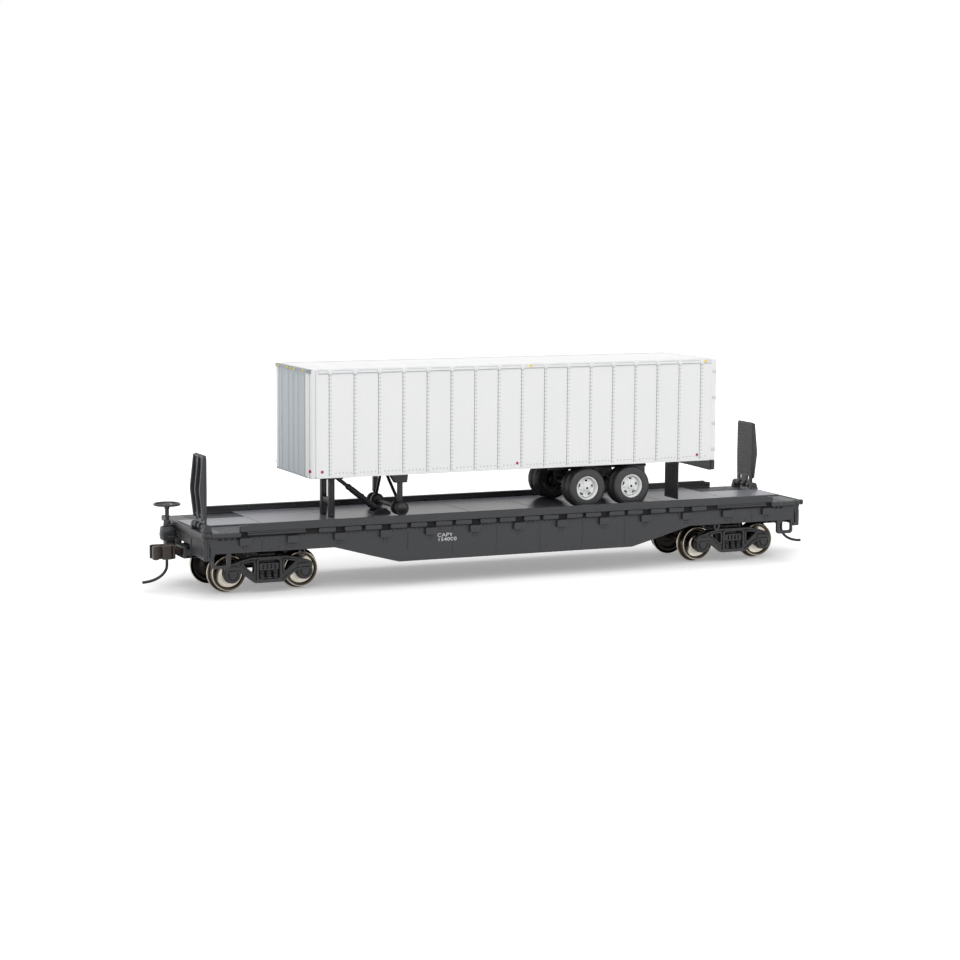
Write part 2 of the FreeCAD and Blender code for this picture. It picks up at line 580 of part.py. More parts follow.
def make_coupler(side, word, boxes):
    """Draft gear box with its post, the knuckle coupler that swings on it, and the trip pin."""
    pivot = f"({DECK_END} - coupler_pivot)"
    place = signed(side, pivot)
    mouth = f"({DECK_END} + draft_proud)"
    along = mirrored(side, f"{mouth} - draft_length", mouth)
    shell = block(f"draft_shell_{word}", along, about("0", "draft_width"), (DRAFT_UNDER, DRAFT_TOP))
    hollow = block(f"draft_hollow_{word}", mirrored(side, f"{mouth} - draft_length + draft_wall", f"{mouth} + 1"),
                   about("0", "draft_width - 2*draft_wall"), (f"{DRAFT_UNDER} + draft_wall", f"{DRAFT_TOP} - draft_wall"))
    post = round_bar(f"draft_post_{word}", "z", (DRAFT_UNDER, DRAFT_TOP), (place, "0"), "coupler_post")
    boxes.append(join(f"draft_box_{word}", [carve(f"draft_case_{word}", shell, [hollow]), post]))
    low, high = about("coupler_height", "shank_tall")
    head_root = f"({DECK_END} + head_start)"
    eye = round_bar(f"coupler_eye_{word}", "z", (low, high), (place, "0"), "coupler_eye")
    shank = block(f"coupler_shank_{word}", mirrored(side, pivot, f"{head_root} + 0.4"), about("0", "shank_width"), (low, high))
    tall = about("coupler_height", "head_tall")
    tip = f"({head_root} + head_length)"
    throat = f"({head_root} + head_length*0.42)"
    knuckle = f"({head_root} + head_length*0.66)"
    root = block(f"coupler_root_{word}", mirrored(side, head_root, throat), about("0", "head_width*0.8"), tall)
    guard = block(f"coupler_guard_{word}", mirrored(side, f"{throat} - 0.5", tip),
                  mirrored(side, "head_width*0.18", "head_width*0.5"), tall)
    jaw = block(f"coupler_jaw_{word}", mirrored(side, f"{throat} - 0.5", f"{tip} - 0.5"),
                mirrored(-side, "head_width*0.24", "head_width*0.5"), tall)
    nose = block(f"coupler_nose_{word}", mirrored(side, knuckle, f"{tip} - 0.5"),
                 mirrored(-side, "head_width*0.02", "head_width*0.5"), about("coupler_height", "head_tall*0.72"))
    hole = round_bar(f"coupler_bore_{word}", "z", (f"{low} - 1", f"{high} + 1"), (place, "0"), "coupler_post + coupler_gap")
    whole = join(f"coupler_whole_{word}", [eye, shank, root, guard, jaw, nose])
    node(carve(f"coupler_{word}", whole, [hole]))
    make_trip_pin(side, word, head_root)


def make_trip_pin(side, word, head_root):
    """Trip pin: a bent wire that hangs from the coupler's head and curves outward."""
    start = value(f"{head_root} + head_length*0.25")
    top = value("coupler_height - head_tall/2")
    drop = top - value("coupler_height - pin_drop")
    reach = value("pin_sweep")
    root = Vector(side * start, 0, top)
    knee = root + Vector(0, 0, -drop * 0.3)
    curve = Part.BezierCurve()
    curve.setPoles([
        knee,
        knee + Vector(0, 0, -drop * 0.45),
        root + Vector(side * reach * 0.4, 0, -drop),
        root + Vector(side * reach, 0, -drop),
    ])
    path = Part.Wire([Part.makeLine(root, knee), curve.toShape()])
    ring = Part.Wire([Part.makeCircle(value("pin_wire"), root, Vector(0, 0, 1))])
    pin = doc.addObject("Part::Feature", f"trip_pin_{word}")
    pin.Shape = path.makePipeShell([ring], True, True)
    node(pin)


def make_corner_steps():
    """Corner steps: a stirrup under the side sill at each corner of the car."""
    steps = []
    top = f"({DECK_UNDER} - sill_end_depth)"
    foot = f"({top} - step_drop)"
    reach = f"({CORNER} - step_gap)"
    for side in (-1, 1):
        for hand in (-1, 1):
            name = f"step_{'ab'[side > 0]}{'lr'[hand > 0]}"
            across = mirrored(hand, SILL_INSIDE, SILL_FACE)
            outer = block(f"{name}_whole", mirrored(side, f"{reach} - step_width", reach), across, (foot, top))
            inner = block(f"{name}_open", mirrored(side, f"{reach} - step_width + 2*step_bar", f"{reach} - step_bar"),
                          mirrored(hand, f"{SILL_FACE} - 3", f"{SILL_FACE} + 1"), (f"{foot} + step_bar", f"{top} + 1"))
            steps.append(carve(name, outer, [inner]))
    node(group("corner_steps", steps))


def make_brake():
    """Hand brake: a bracket on the end sill, its staff and the spoked wheel on top."""
    place = f"-({DECK_END} + brake_inset)"
    housing = block("brake_housing", (f"{place} - 1.2", f"-{END_FACE}"), about("brake_offset", "3.6"),
                    (f"{DECK_UNDER} - 4.2", f"{DECK_UNDER} - 0.2"))
    foot = block("brake_foot", (f"{place} - 0.8", f"-{END_FACE}"), about("brake_offset", "2.6"),
                 (f"{DECK_UNDER} - 6.6", f"{DECK_UNDER} - 4.2"))
    collar = round_bar("brake_collar", "z", (f"{DECK_UNDER} - 0.4", "deck_top + 0.6"), (place, "brake_offset"), "staff_radius*1.9")
    staff = round_bar("brake_rod", "z", (f"{DECK_UNDER} - 1", "brake_top"), (place, "brake_offset"), "staff_radius")
    node(join("brake_stand", [housing, foot, collar, staff]))
    rim = doc.addObject("Part::Torus", "brake_rim")
    bind(rim, "Radius1", "brake_radius - brake_rim")
    bind(rim, "Radius2", "brake_rim")
    for axis, text in zip(AXES, (place, "brake_offset", "brake_top + brake_rim")):
        bind(rim, f"Placement.Base.{axis}", text)
    hub = round_bar("brake_hub", "z", ("brake_top", "brake_top + brake_rim*2"), (place, "brake_offset"), "staff_radius*1.7")
    spokes = []
    for index in range(3):
        spoke = doc.addObject("Part::Box", f"brake_spoke_{index}")
        bind(spoke, "Length", "2*brake_radius - 2*brake_rim")
        bind(spoke, "Width", "brake_rim*1.2")
        bind(spoke, "Height", "brake_rim*1.2")
        turn = index * 60
        spoke.Placement = Placement(Vector(), Rotation(Vector(0, 0, 1), turn))
        along = "(brake_radius - brake_rim)"
        half = "(brake_rim*0.6)"
        bind(spoke, "Placement.Base.x", f"{place} - {along}*cos({turn}) + {half}*sin({turn})")
        bind(spoke, "Placement.Base.y", f"brake_offset - {along}*sin({turn}) - {half}*cos({turn})")
        bind(spoke, "Placement.Base.z", "brake_top + brake_rim*0.4")
        spokes.append(spoke)
    node(join("brake_wheel", [rim, hub] + spokes))


def make_bridge(side, word, lugs):
    """Bridge plate: a ribbed ramp that stands on end and swings down on a pin between two lugs."""
    axis_x = signed(side, f"{DECK_END} - bridge_inset")
    axis_z = "(deck_top + bridge_hinge_rise)"
    inner = BRIDGE_INNER
    outer = f"({BRIDGE_INNER} + bridge_foot_width)"
    for tag, low in (("in", f"({inner} - side_gap - hinge_lug)"), ("out", f"({outer} + side_gap)")):
        across = mirrored(side, low, f"{low} + hinge_lug")
        base = block(f"lug_base_{word}_{tag}", about(axis_x, "2*hinge_sleeve"), across, ("deck_top", axis_z))
        cap = round_bar(f"lug_cap_{word}_{tag}", "y", across, (axis_x, axis_z), "hinge_sleeve")
        bore = round_bar(f"lug_bore_{word}_{tag}", "y", mirrored(side, f"{low} - 1", f"{low} + hinge_lug + 1"),
                         (axis_x, axis_z), "hinge_pin + hinge_gap")
        lugs.append(carve(f"lug_{word}_{tag}", join(f"lug_whole_{word}_{tag}", [base, cap]), [bore]))
    whole = mirrored(side, f"{inner} - side_gap - hinge_lug", f"{outer} + side_gap + hinge_lug")
    pin = round_bar(f"bridge_pin_{word}", "y", whole, (axis_x, axis_z), "hinge_pin")
    sleeve = round_bar(f"bridge_sleeve_{word}", "y", mirrored(side, inner, outer), (axis_x, axis_z), "hinge_sleeve")
    middle = signed(side, f"{inner} + bridge_foot_width/2")
    spread = "(bridge_width/2)"
    foot = "(bridge_foot_width/2)"
    skin = plate(f"bridge_skin_{word}", "YZ_Plane", [[
        (f"-{foot}", "0"), (foot, "0"), (f"{spread}", "bridge_length*0.45"), (f"{spread}", "bridge_length"),
        (f"-{spread}", "bridge_length"), (f"-{spread}", "bridge_length*0.45"),
    ]], "bridge_wall", (axis_x, middle, axis_z))
    ribs = []
    for index in (-1, 0, 1):
        out = [
            ("0", "bridge_length*0.1"), (signed(side, "bridge_rib_foot"), "bridge_length*0.1"),
            (signed(side, "bridge_rib"), "bridge_length*0.5"), (signed(side, "bridge_rib_foot"), "bridge_length - 0.2"),
            ("0", "bridge_length - 0.2"),
        ]
        across = f"{middle} + {index}*(bridge_width - 1)/2"
        ribs.append(plate(f"bridge_rib_{word}_{index + 1}", "XZ_Plane", [out], "bridge_wall", (axis_x, across, axis_z)))
    node(join(f"bridge_plate_{word}", [pin, sleeve, skin] + ribs))


def make_hitch():
    """Hitch: a fifth-wheel plate on two braced legs, a strut to the deck and the strut's base."""
    middle = HITCH_MIDDLE
    front, back = about(middle, "hitch_length")
    top_plate = block("hitch_top_slab", (front, back), about("0", "hitch_width"), (HITCH_UNDER, HITCH_TOP))
    hole = round_bar("hitch_jaw", "z", (f"{HITCH_UNDER} - 1", f"{HITCH_TOP} + 1"), (middle, "0"), "kingpin_radius + kingpin_gap")
    node(carve("hitch_plate", top_plate, [hole]))
    legs = []
    along = about(middle, "hitch_leg*0.9")
    for side in (-1, 1):
        across = mirrored(side, "hitch_leg_offset - hitch_leg/2", "hitch_leg_offset + hitch_leg/2")
        legs.append(block(f"hitch_leg_{'lr'[side > 0]}", along, across, (PLATE_TOP, HITCH_UNDER)))
    bar = f"({PLATE_TOP} + hitch_bar_rise)"
    legs.append(block("hitch_bar", along, about("0", "2*hitch_leg_offset"), (bar, f"{bar} + hitch_bar_tall")))
    node(join("hitch_legs", legs))
    make_strut(f"({back})")


def make_strut(back):
    """Hitch strut: a rod and its sleeve, sloping from the hitch plate down to a base on the deck."""
    start = Vector(value(f"{back} - strut_radius*1.6"), 0, value(HITCH_UNDER))
    foot = Vector(value(f"{back} + strut_run"), 0, value(f"{PLATE_TOP} + 1.4"))
    run = foot - start
    rod = Part.makeCylinder(value("strut_radius"), run.Length, start, run)
    sleeve_start = start + run * 0.45
    sleeve = Part.makeCylinder(value("strut_sleeve"), run.Length * 0.55, sleeve_start, run)
    trim = Part.makeBox(40, 10, 10, Vector(start.x - 20, -5, start.z))
    strut = doc.addObject("Part::Feature", "hitch_strut")
    lower = Part.makeBox(60, 10, 10, Vector(start.x - 20, -5, value(PLATE_TOP) - 10))
    base_x = about(f"{back} + strut_run", "4.6")
    clear = Part.makeBox(value(base_x[1]) - value(base_x[0]), 10, value("1.5"),
                         Vector(value(base_x[0]), -5, value(PLATE_TOP)))
    strut.Shape = rod.fuse(sleeve).cut(trim.fuse(lower).fuse(clear)).removeSplitter()
    node(strut)
    node(block("hitch_base", base_x, about("0", "5"), (PLATE_TOP, f"{PLATE_TOP} + 1.5")))


def make_trailer_body():
    """Trailer body: floor, sides with roof rails, rounded nose, roof and rear frame with doors."""
    front = "(-trailer_nose)"
    rear = TRAILER_REAR
    inside = f"({TRAILER_SIDE} - trailer_wall)"
    side_start = f"({front} + nose_radius)"
    side_end = f"({rear} - post_depth)"
    height = (TRAILER_UNDER, TRAILER_ROOF)
    for side, word in ((-1, "left"), (1, "right")):
        wall = block(f"side_wall_{word}", (side_start, side_end), mirrored(side, inside, TRAILER_SIDE), height)
        rail = block(f"roof_rail_{word}", (side_start, side_end), mirrored(side, inside, f"{TRAILER_SIDE} + coaming_proud"),
                     (f"{TRAILER_ROOF} - coaming_tall", TRAILER_ROOF))
        node(join(f"trailer_side_{word}", [wall, rail]))
    flat = block("nose_flat", (front, f"{front} + trailer_wall"),
                 (f"-({TRAILER_SIDE} - nose_radius)", f"{TRAILER_SIDE} - nose_radius"), height)
    corners = []
    for low, high in ((TRAILER_UNDER, f"{TRAILER_UNDER} + trailer_wall"), (f"{TRAILER_ROOF} - trailer_wall", TRAILER_ROOF)):
        corners += nose_cap(side_start, low, high)
    for side in (-1, 1):
        centre = (side_start, signed(side, f"{TRAILER_SIDE} - nose_radius"))
        outer = round_bar(f"nose_round_{side + 1}", "z", height, centre, "nose_radius")
        inner = round_bar(f"nose_hollow_{side + 1}", "z", (f"{TRAILER_UNDER} - 1", f"{TRAILER_ROOF} + 1"), centre,
                          "nose_radius - trailer_wall")
        for bar, start in ((outer, 90 if side > 0 else 180), (inner, 90 if side > 0 else 180)):
            bar.Angle = 90
            bar.Placement.Rotation = Rotation(Vector(0, 0, 1), start)
        corners.append(carve(f"nose_corner_{side + 1}", outer, [inner]))
    node(join("trailer_nose", [flat] + corners))
    node(block("trailer_floor", (side_start, side_end), (f"-{inside}", inside),
               (FLOOR_UNDER, f"{FLOOR_UNDER} + trailer_wall")))
    node(block("trailer_roof", (side_start, side_end), (f"-{inside}", inside), (f"{TRAILER_ROOF} - trailer_wall", TRAILER_ROOF)))
    door_height = (f"{TRAILER_UNDER} + door_edge", f"{TRAILER_ROOF} - door_edge")
    frame = block("rear_frame_whole", (side_end, rear), (f"-{TRAILER_SIDE}", TRAILER_SIDE), height)
    opening = block("rear_frame_open", (f"{side_end} - 1", f"{rear} + 1"), (f"-({TRAILER_SIDE} - door_edge)", f"{TRAILER_SIDE} - door_edge"),
                    door_height)
    node(carve("trailer_rear_frame", frame, [opening]))
    for side, word in ((-1, "left"), (1, "right")):
        node(block(f"rear_door_{word}", (f"{rear} - door_inset - trailer_wall", f"{rear} - door_inset"),
                   mirrored(side, "0.02", f"{TRAILER_SIDE} - door_edge"), door_height))
    slab = block("kingpin_slab", (side_start, f"{side_start} + kingpin_slab_length"), about("0", "trailer_width*0.62"),
                 (HITCH_TOP, FLOOR_UNDER))
    pin = round_bar("kingpin_bar", "z", (f"{HITCH_UNDER} - 0.4", HITCH_TOP), (HITCH_MIDDLE, "0"), "kingpin_radius")
    node(join("kingpin_plate", [slab, pin]))


def nose_cap(side_start, low, high):
    """Close the rounded nose between two heights with a box and two quarter discs."""
    width = f"({TRAILER_SIDE} - nose_radius)"
    tag = "top" if value(low) > value(TRAILER_UNDER) else "foot"
    pieces = [block(f"nose_cap_{tag}", ("-trailer_nose", side_start), (f"-{width}", width), (low, high))]
    for side in (-1, 1):
        disc = round_bar(f"nose_disc_{tag}_{side + 1}", "z", (low, high), (side_start, signed(side, width)), "nose_radius")
        disc.Angle = 90
        disc.Placement.Rotation = Rotation(Vector(0, 0, 1), 90 if side > 0 else 180)
        pieces.append(disc)
    return pieces


def make_landing_gear():
    """Landing gear: two legs under brackets, inclined braces, and wheels on a cross axle."""
    place = LEG_PLACE
    hub = FOOT_HUB
    legs, wheels = [], []
    for side in (-1, 1):
        tag = "lr"[side > 0]
        across = mirrored(side, f"{LEG_OFFSET} - leg_size/2", f"{LEG_OFFSET} + leg_size/2")
        tube = block(f"leg_tube_{tag}", about(place, "leg_size"), across, (f"{hub} - foot_axle*2", FLOOR_UNDER))
        box = block(f"leg_box_{tag}", about(place, "gearbox_length"), across, (f"{TRAILER_UNDER} - gearbox_tall", FLOOR_UNDER))
        bore = round_bar(f"leg_bore_{tag}", "y", (f"{across[0]} - 1", f"{across[1]} + 1"), (place, hub), "foot_axle")
        legs.append(carve(f"leg_{tag}", join(f"leg_whole_{tag}", [tube, box]), [bore]))
        inner = f"{LEG_OFFSET} - leg_size/2 - side_gap - foot_width"
        for end, low in (("in", inner), ("out", f"{LEG_OFFSET} + leg_size/2 + side_gap")):
            stretch = mirrored(side, low, f"{low} + foot_width")
            wheels.append(round_bar(f"foot_{tag}_{end}", "y", stretch, (place, hub), "foot_radius"))
    reach = f"({LEG_OFFSET} + leg_size/2 + side_gap + foot_width)"
    axle = round_bar("foot_axle_bar", "y", (f"-{reach}", reach), (place, hub), "foot_axle")
    node(group("landing_legs", legs))
    node(join("landing_wheels", wheels + [axle]))
    make_braces(place, hub)


def make_braces(place, hub):
    """Landing gear braces: a rod from the floor beside the centre line out to the foot of each leg."""
    back = value(f"{place} + leg_size/2 + brace_radius")
    floor = value(FLOOR_UNDER)
    above = Part.makeBox(10, 60, 10, Vector(back - 5, -30, floor))
    braces = []
    for side in (-1, 1):
        low = Vector(back, side * value(LEG_OFFSET), value(f"{hub} + foot_axle*3"))
        high = Vector(back, side * 1.5, floor + 0.5)
        rod = Part.makeCylinder(value("brace_radius"), (low - high).Length, high, low - high)
        braces.append(rod.cut(above))
    bar = doc.addObject("Part::Feature", "landing_braces")
    bar.Shape = Part.makeCompound(braces)
    node(bar)


def make_bogie():
    """Trailer bogie: two rails under the floor, spring hangers bored for the axles, and leaf springs."""
    pieces = []
    rail_under = f"({FLOOR_UNDER} - bogie_rail_tall)"
    for side in (-1, 1):
        tag = "lr"[side > 0]
        across = mirrored(side, f"{HANGER} - hanger_wall/2", f"{HANGER} + hanger_wall/2")
        rail = block(f"bogie_rail_{tag}", about(TANDEM, "2*bogie_reach"), across, (rail_under, FLOOR_UNDER))
        hangers, bores = [], []
        for axle in (-1, 1):
            place = f"({TANDEM} + {axle}*tandem_pitch/2)"
            hangers.append(block(f"hanger_{tag}_{axle + 1}", about(place, "hanger_width"), across,
                                 (f"{TYRE_HUB} - hanger_width/2", rail_under)))
            bores.append(round_bar(f"hanger_bore_{tag}_{axle + 1}", "y", (f"{across[0]} - 1", f"{across[1]} + 1"),
                                   (place, TYRE_HUB), "trailer_axle + trailer_axle_gap"))
        spring = block(f"leaf_{tag}", about(TANDEM, "tandem_pitch"), across, about(f"{TYRE_HUB} + 1.8", "1.0"))
        pieces.append(carve(f"bogie_{tag}", join(f"bogie_whole_{tag}", [rail, spring] + hangers), bores))
    cross = block("bogie_cross", about(TANDEM, "2"), about("0", f"2*{HANGER} - hanger_wall"),
                  (rail_under, FLOOR_UNDER))
    node(join("trailer_bogie", pieces + [cross]))


def make_trailer_wheels(axle, word):
    """Trailer wheels: dual tyres on each side, and rims in one with their axle."""
    place = f"({TANDEM} + {axle}*tandem_pitch/2)"
    for side, hand in ((-1, "left"), (1, "right")):
        pair = []
        for index in range(2):
            middle = signed(side, f"{TYRE_OUTER} - tyre_width/2 - {index}*(tyre_width + tyre_gap)")
            outline = [
                ("rim_radius", "-tyre_width/2*0.85"), ("(tyre_radius - tyre_round)", "-tyre_width/2"),
                ("tyre_radius", "-(tyre_width/2 - tyre_round*0.8)"), ("tyre_radius", "tyre_width/2 - tyre_round*0.8"),
                ("(tyre_radius - tyre_round)", "tyre_width/2"), ("rim_radius", "tyre_width/2*0.85"),
            ]
            pair.append(turned(f"tyre_{word}_{hand}_{index}", outline, (place, middle, TYRE_HUB)))
        node(group(f"trailer_tyres_{word}_{hand}", pair))
    inner = RIM_INNER
    outer = f"({TYRE_OUTER} - rim_inset)"
    half = [
        ("0", outer), ("rim_radius", outer), ("rim_radius", inner), ("trailer_axle*1.6", inner),
        ("trailer_axle*1.6", f"{inner} - collar_length"), ("trailer_axle", f"{inner} - collar_length"),
    ]
    outline = half + [(across, f"-({up})") for across, up in reversed(half)]
    node(turned(f"trailer_wheels_{word}", outline, (place, "0", TYRE_HUB)))


def make_rear_gear():
    """Mud flaps behind the trailer's wheels, and the gusseted bumper below its rear frame."""
    flaps = []
    for side in (-1, 1):
        edge = f"({TRAILER_SIDE} - flap_side)"
        across = mirrored(side, f"{edge} - flap_width", edge)
        flaps.append(block(f"flap_{'lr'[side > 0]}", about(f"({TRAILER_REAR} - flap_inset)", "flap_wall"), across,
                           (f"{TRAILER_UNDER} - flap_drop", TRAILER_UNDER)))
    node(group("mud_flaps", flaps))
    bar_front = f"({TRAILER_REAR} - bumper_bar)"
    wedge = [
        (f"{TRAILER_REAR} - bumper_length", "0"), (bar_front, "0"), (bar_front, "-bumper_drop"),
        (f"{bar_front} - 0.5", "-bumper_drop"),
    ]
    pieces = []
    for side in (-1, 1):
        middle = signed(side, f"{TRAILER_SIDE} - bumper_wall/2")
        pieces.append(plate(f"gusset_{side + 1}", "XZ_Plane", [wedge], "bumper_wall", ("0", middle, TRAILER_UNDER)))
    node(group("bumper_gussets", pieces))
    node(block("rear_bumper", (bar_front, TRAILER_REAR), (f"-{TRAILER_SIDE}", TRAILER_SIDE),
               (f"{TRAILER_UNDER} - bumper_drop", TRAILER_UNDER)))


def build():
    """Build every sub-part of the car, then of the trailer on it."""
    make_deck()
    make_guard_rails()
    make_side_sills()
    make_centre_sill()
    make_corner_steps()
    make_brake()
    boxes, lugs = [], []
    for side, word in ((-1, "a"), (1, "b")):
        make_end_sill(side, word)
        make_body_bolster(side, word)
        make_truck(side, word)
        for axle, place in ((-1, "left"), (1, "right")):
            make_wheelset(side, axle, f"wheelset_{word}_{place}")
        make_coupler(side, word, boxes)
        make_bridge(side, word, lugs)
    node(group("draft_boxes", boxes))
    node(group("bridge_hinges", lugs))
    make_hitch()
    make_trailer_body()
    make_landing_gear()
    make_bogie()
    for axle, word in ((-1, "front"), (1, "rear")):
        make_trailer_wheels(axle, word)
    make_rear_gear()
    doc.recompute()


def check():
    """Stop if any object failed, or any sub-part has no sound shape."""
    for item in doc.Objects:
        if "Invalid" in item.State or "Error" in item.State:
            raise RuntimeError(f"{item.Label} failed: {item.State}")
    for item in nodes:
        if item.Shape.isNull() or not item.Shape.isValid() or not item.Shape.Solids:
            raise RuntimeError(f"{item.Label} has no sound shape")


def export():
    """Write each sub-part to its own file."""
    os.makedirs("parts", exist_ok=True)
    for item in nodes:
        item.Shape.exportStep(f"parts/{item.Label}.step")
        print(f"{item.Label:28s} solids {len(item.Shape.Solids):2d} volume {item.Shape.Volume:9.2f}")
    print(len(nodes), "sub-parts")


build()
check()
export()
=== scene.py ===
"""Looks of a 1:87 model flatcar that carries a road trailer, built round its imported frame."""

from __future__ import annotations

import json
import logging
import math
from collections.abc import Iterable, Sequence
from dataclasses import dataclass, field
from enum import Enum

import bmesh
import bpy
import numpy as np
from mathutils import Matrix, Vector
from mathutils.geometry import tessellate_polygon

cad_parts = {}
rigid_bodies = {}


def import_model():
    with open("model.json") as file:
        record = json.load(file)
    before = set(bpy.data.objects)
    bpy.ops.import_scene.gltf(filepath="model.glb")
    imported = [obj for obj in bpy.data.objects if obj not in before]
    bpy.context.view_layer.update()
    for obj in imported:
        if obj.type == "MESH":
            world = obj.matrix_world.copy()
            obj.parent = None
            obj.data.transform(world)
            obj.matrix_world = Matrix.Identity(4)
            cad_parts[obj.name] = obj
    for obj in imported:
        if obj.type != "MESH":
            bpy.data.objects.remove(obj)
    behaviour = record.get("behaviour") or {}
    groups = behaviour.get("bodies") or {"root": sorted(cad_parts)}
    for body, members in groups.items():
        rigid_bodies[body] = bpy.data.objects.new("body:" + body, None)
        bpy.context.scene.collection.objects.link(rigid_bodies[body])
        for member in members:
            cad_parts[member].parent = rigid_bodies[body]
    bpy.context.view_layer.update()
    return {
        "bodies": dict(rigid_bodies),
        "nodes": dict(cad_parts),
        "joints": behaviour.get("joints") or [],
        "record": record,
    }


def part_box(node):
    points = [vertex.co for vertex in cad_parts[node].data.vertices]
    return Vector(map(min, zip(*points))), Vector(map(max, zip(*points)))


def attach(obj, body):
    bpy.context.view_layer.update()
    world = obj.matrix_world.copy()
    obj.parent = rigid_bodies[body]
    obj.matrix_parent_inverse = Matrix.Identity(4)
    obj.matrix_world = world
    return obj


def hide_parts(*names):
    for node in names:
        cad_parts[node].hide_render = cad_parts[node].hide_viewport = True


MM = 0.001
LOG = logging.getLogger("flatcar")
Point = tuple[float, float, float]
Pair = tuple[float, float]
Outline = list[Pair]
BOTH = (-1, 1)
# Places along the car, in millimetres from its middle.
TRUCK_CENTRE = 70.95
COUPLER_PIVOT = 86.8
KINGPIN = -49.6
POCKET_PITCH = 13.19
POCKET_COUNT = 13


class Axis(Enum):
    """The axis that a shape is drawn out along, with the two axes of its outline."""

    X = (0, 1, 2)
    Y = (1, 0, 2)
    Z = (2, 0, 1)


def linear(code: str) -> tuple[float, float, float, float]:
    """Turn an sRGB hex value into a linear colour.

    Args:
        code: six hex digits, such as "3a3b3e".

    Returns:
        Red, green, blue and a full alpha, in linear light.
    """
    channels = [int(code[i : i + 2], 16) / 255 for i in (0, 2, 4)]
    return (*[c / 12.92 if c <= 0.04045 else ((c + 0.055) / 1.055) ** 2.4 for c in channels], 1.0)


def spread(first: float, last: float, count: int) -> list[float]:
    """Return a number of evenly spaced places from the first to the last.

    Args:
        first: the first place.
        last: the last place.
        count: how many places, at least two.

    Returns:
        The places in order.
    """
    return [first + (last - first) * index / (count - 1) for index in range(count)]


def rectangle(across: Pair, up: Pair) -> Outline:
    """Return the outline of a rectangle over two stretches."""
    return [(across[0], up[0]), (across[1], up[0]), (across[1], up[1]), (across[0], up[1])]


def circle(centre: Pair, radius: float, sides: int = 20) -> Outline:
    """Return the outline of a circle with the given number of sides."""
    turns = [math.tau * index / sides for index in range(sides)]
    return [(centre[0] + radius * math.cos(t), centre[1] + radius * math.sin(t)) for t in turns]


def rounded(outline: Outline, radius: float, steps: int = 2) -> Outline:
    """Round the corners of a closed outline.

    Args:
        outline: its corners in order.
        radius: the radius wanted, less where an edge is short.
        steps: edges in each round.

    Returns:
        The new outline.
    """
    corners = [Vector(corner) for corner in outline]
    result = []
    for index, corner in enumerate(corners):
        before = corners[index - 1] - corner
        after = corners[(index + 1) % len(corners)] - corner
        turn = math.pi - before.angle(after)
        if turn < 0.15:
            result.append(tuple(corner))
            continue
        reach = min(radius * math.tan(turn / 2), before.length * 0.45, after.length * 0.45)
        start = corner + before.normalized() * reach
        end = corner + after.normalized() * reach
        for step in range(steps + 1):
            t = step / steps
            result.append(tuple(start * (1 - t) ** 2 + corner * 2 * t * (1 - t) + end * t * t))
    return result


def shrunk(outline: Outline, inset: float) -> Outline:
    """Move each edge of an outline to its left, which is inward where it runs anticlockwise.

    Args:
        outline: its corners in order.
        inset: how far each edge moves.

    Returns:
        The new outline, with as many corners.
    """
    result = []
    for index, corner in enumerate(outline):
        here = Vector(corner)
        before = (here - Vector(outline[index - 1])).normalized()
        after = (Vector(outline[(index + 1) % len(outline)]) - here).normalized()
        left, following = Vector((-before.y, before.x)), Vector((-after.y, after.x))
        reach = inset / max(1 + left.dot(following), 0.35)
        result.append(tuple(here + (left + following) * reach))
    return result


def turning(outline: Outline, anticlockwise: bool) -> Outline:
    """Return an outline in the sense of turning that is asked for."""
    area = sum(a[0] * b[1] - b[0] * a[1] for a, b in zip(outline, outline[1:] + outline[:1]))
    return outline if (area > 0) == anticlockwise else outline[::-1]


@dataclass
class Solid:
    """A closed shape: its points in millimetres and its faces as rows of point numbers."""

    points: np.ndarray
    faces: list[tuple[int, ...]]

    def moved(self, move: Matrix) -> Solid:
        """Return a copy of the shape, turned and moved."""
        grid = np.array(move.to_4x4())
        return Solid(self.points @ grid[:3, :3].T + grid[:3, 3], self.faces)


def extruded(axis: Axis, outline: Outline, low: float, high: float, edge: float = 0.0,
             holes: Sequence[Outline] = ()) -> Solid:
    """Draw an outline out along an axis, with chamfered rims.

    Args:
        axis: the axis it is drawn out along.
        outline: its corners on the other two axes.
        low: where it starts.
        high: where it ends.
        edge: the width of the chamfer round both ends.
        holes: outlines cut right through it.

    Returns:
        The closed shape.
    """
    loops = [turning(list(outline), True)] + [turning(list(hole), False) for hole in holes]
    levels = [(low, 0.0), (high, 0.0)]
    if edge:
        levels = [(low, edge), (low + edge, 0.0), (high - edge, 0.0), (high, edge)]
    along, across, up = axis.value
    points, rings = [], []
    for level, inset in levels:
        row = []
        for loop in loops:
            ring = shrunk(loop, inset) if inset else loop
            row.append(list(range(len(points), len(points) + len(ring))))
            for corner in ring:
                place = [0.0, 0.0, 0.0]
                place[along], place[across], place[up] = level, corner[0], corner[1]
                points.append(place)
        rings.append(row)
    faces = []
    for lower, upper in zip(rings, rings[1:]):
        for ring, other in zip(lower, upper):
            for index in range(len(ring)):
                after = (index + 1) % len(ring)
                faces.append((ring[index], ring[after], other[after], other[index]))
    for row in (rings[0], rings[-1]):
        if len(row) == 1:
            faces.append(tuple(row[0]))
            continue
        flat = [number for ring in row for number in ring]
        drawn = [[Vector((points[n][across], points[n][up], 0)) for n in ring] for ring in row]
        faces += [tuple(flat[n] for n in triangle) for triangle in tessellate_polygon(drawn)]
    return Solid(np.array(points), faces)


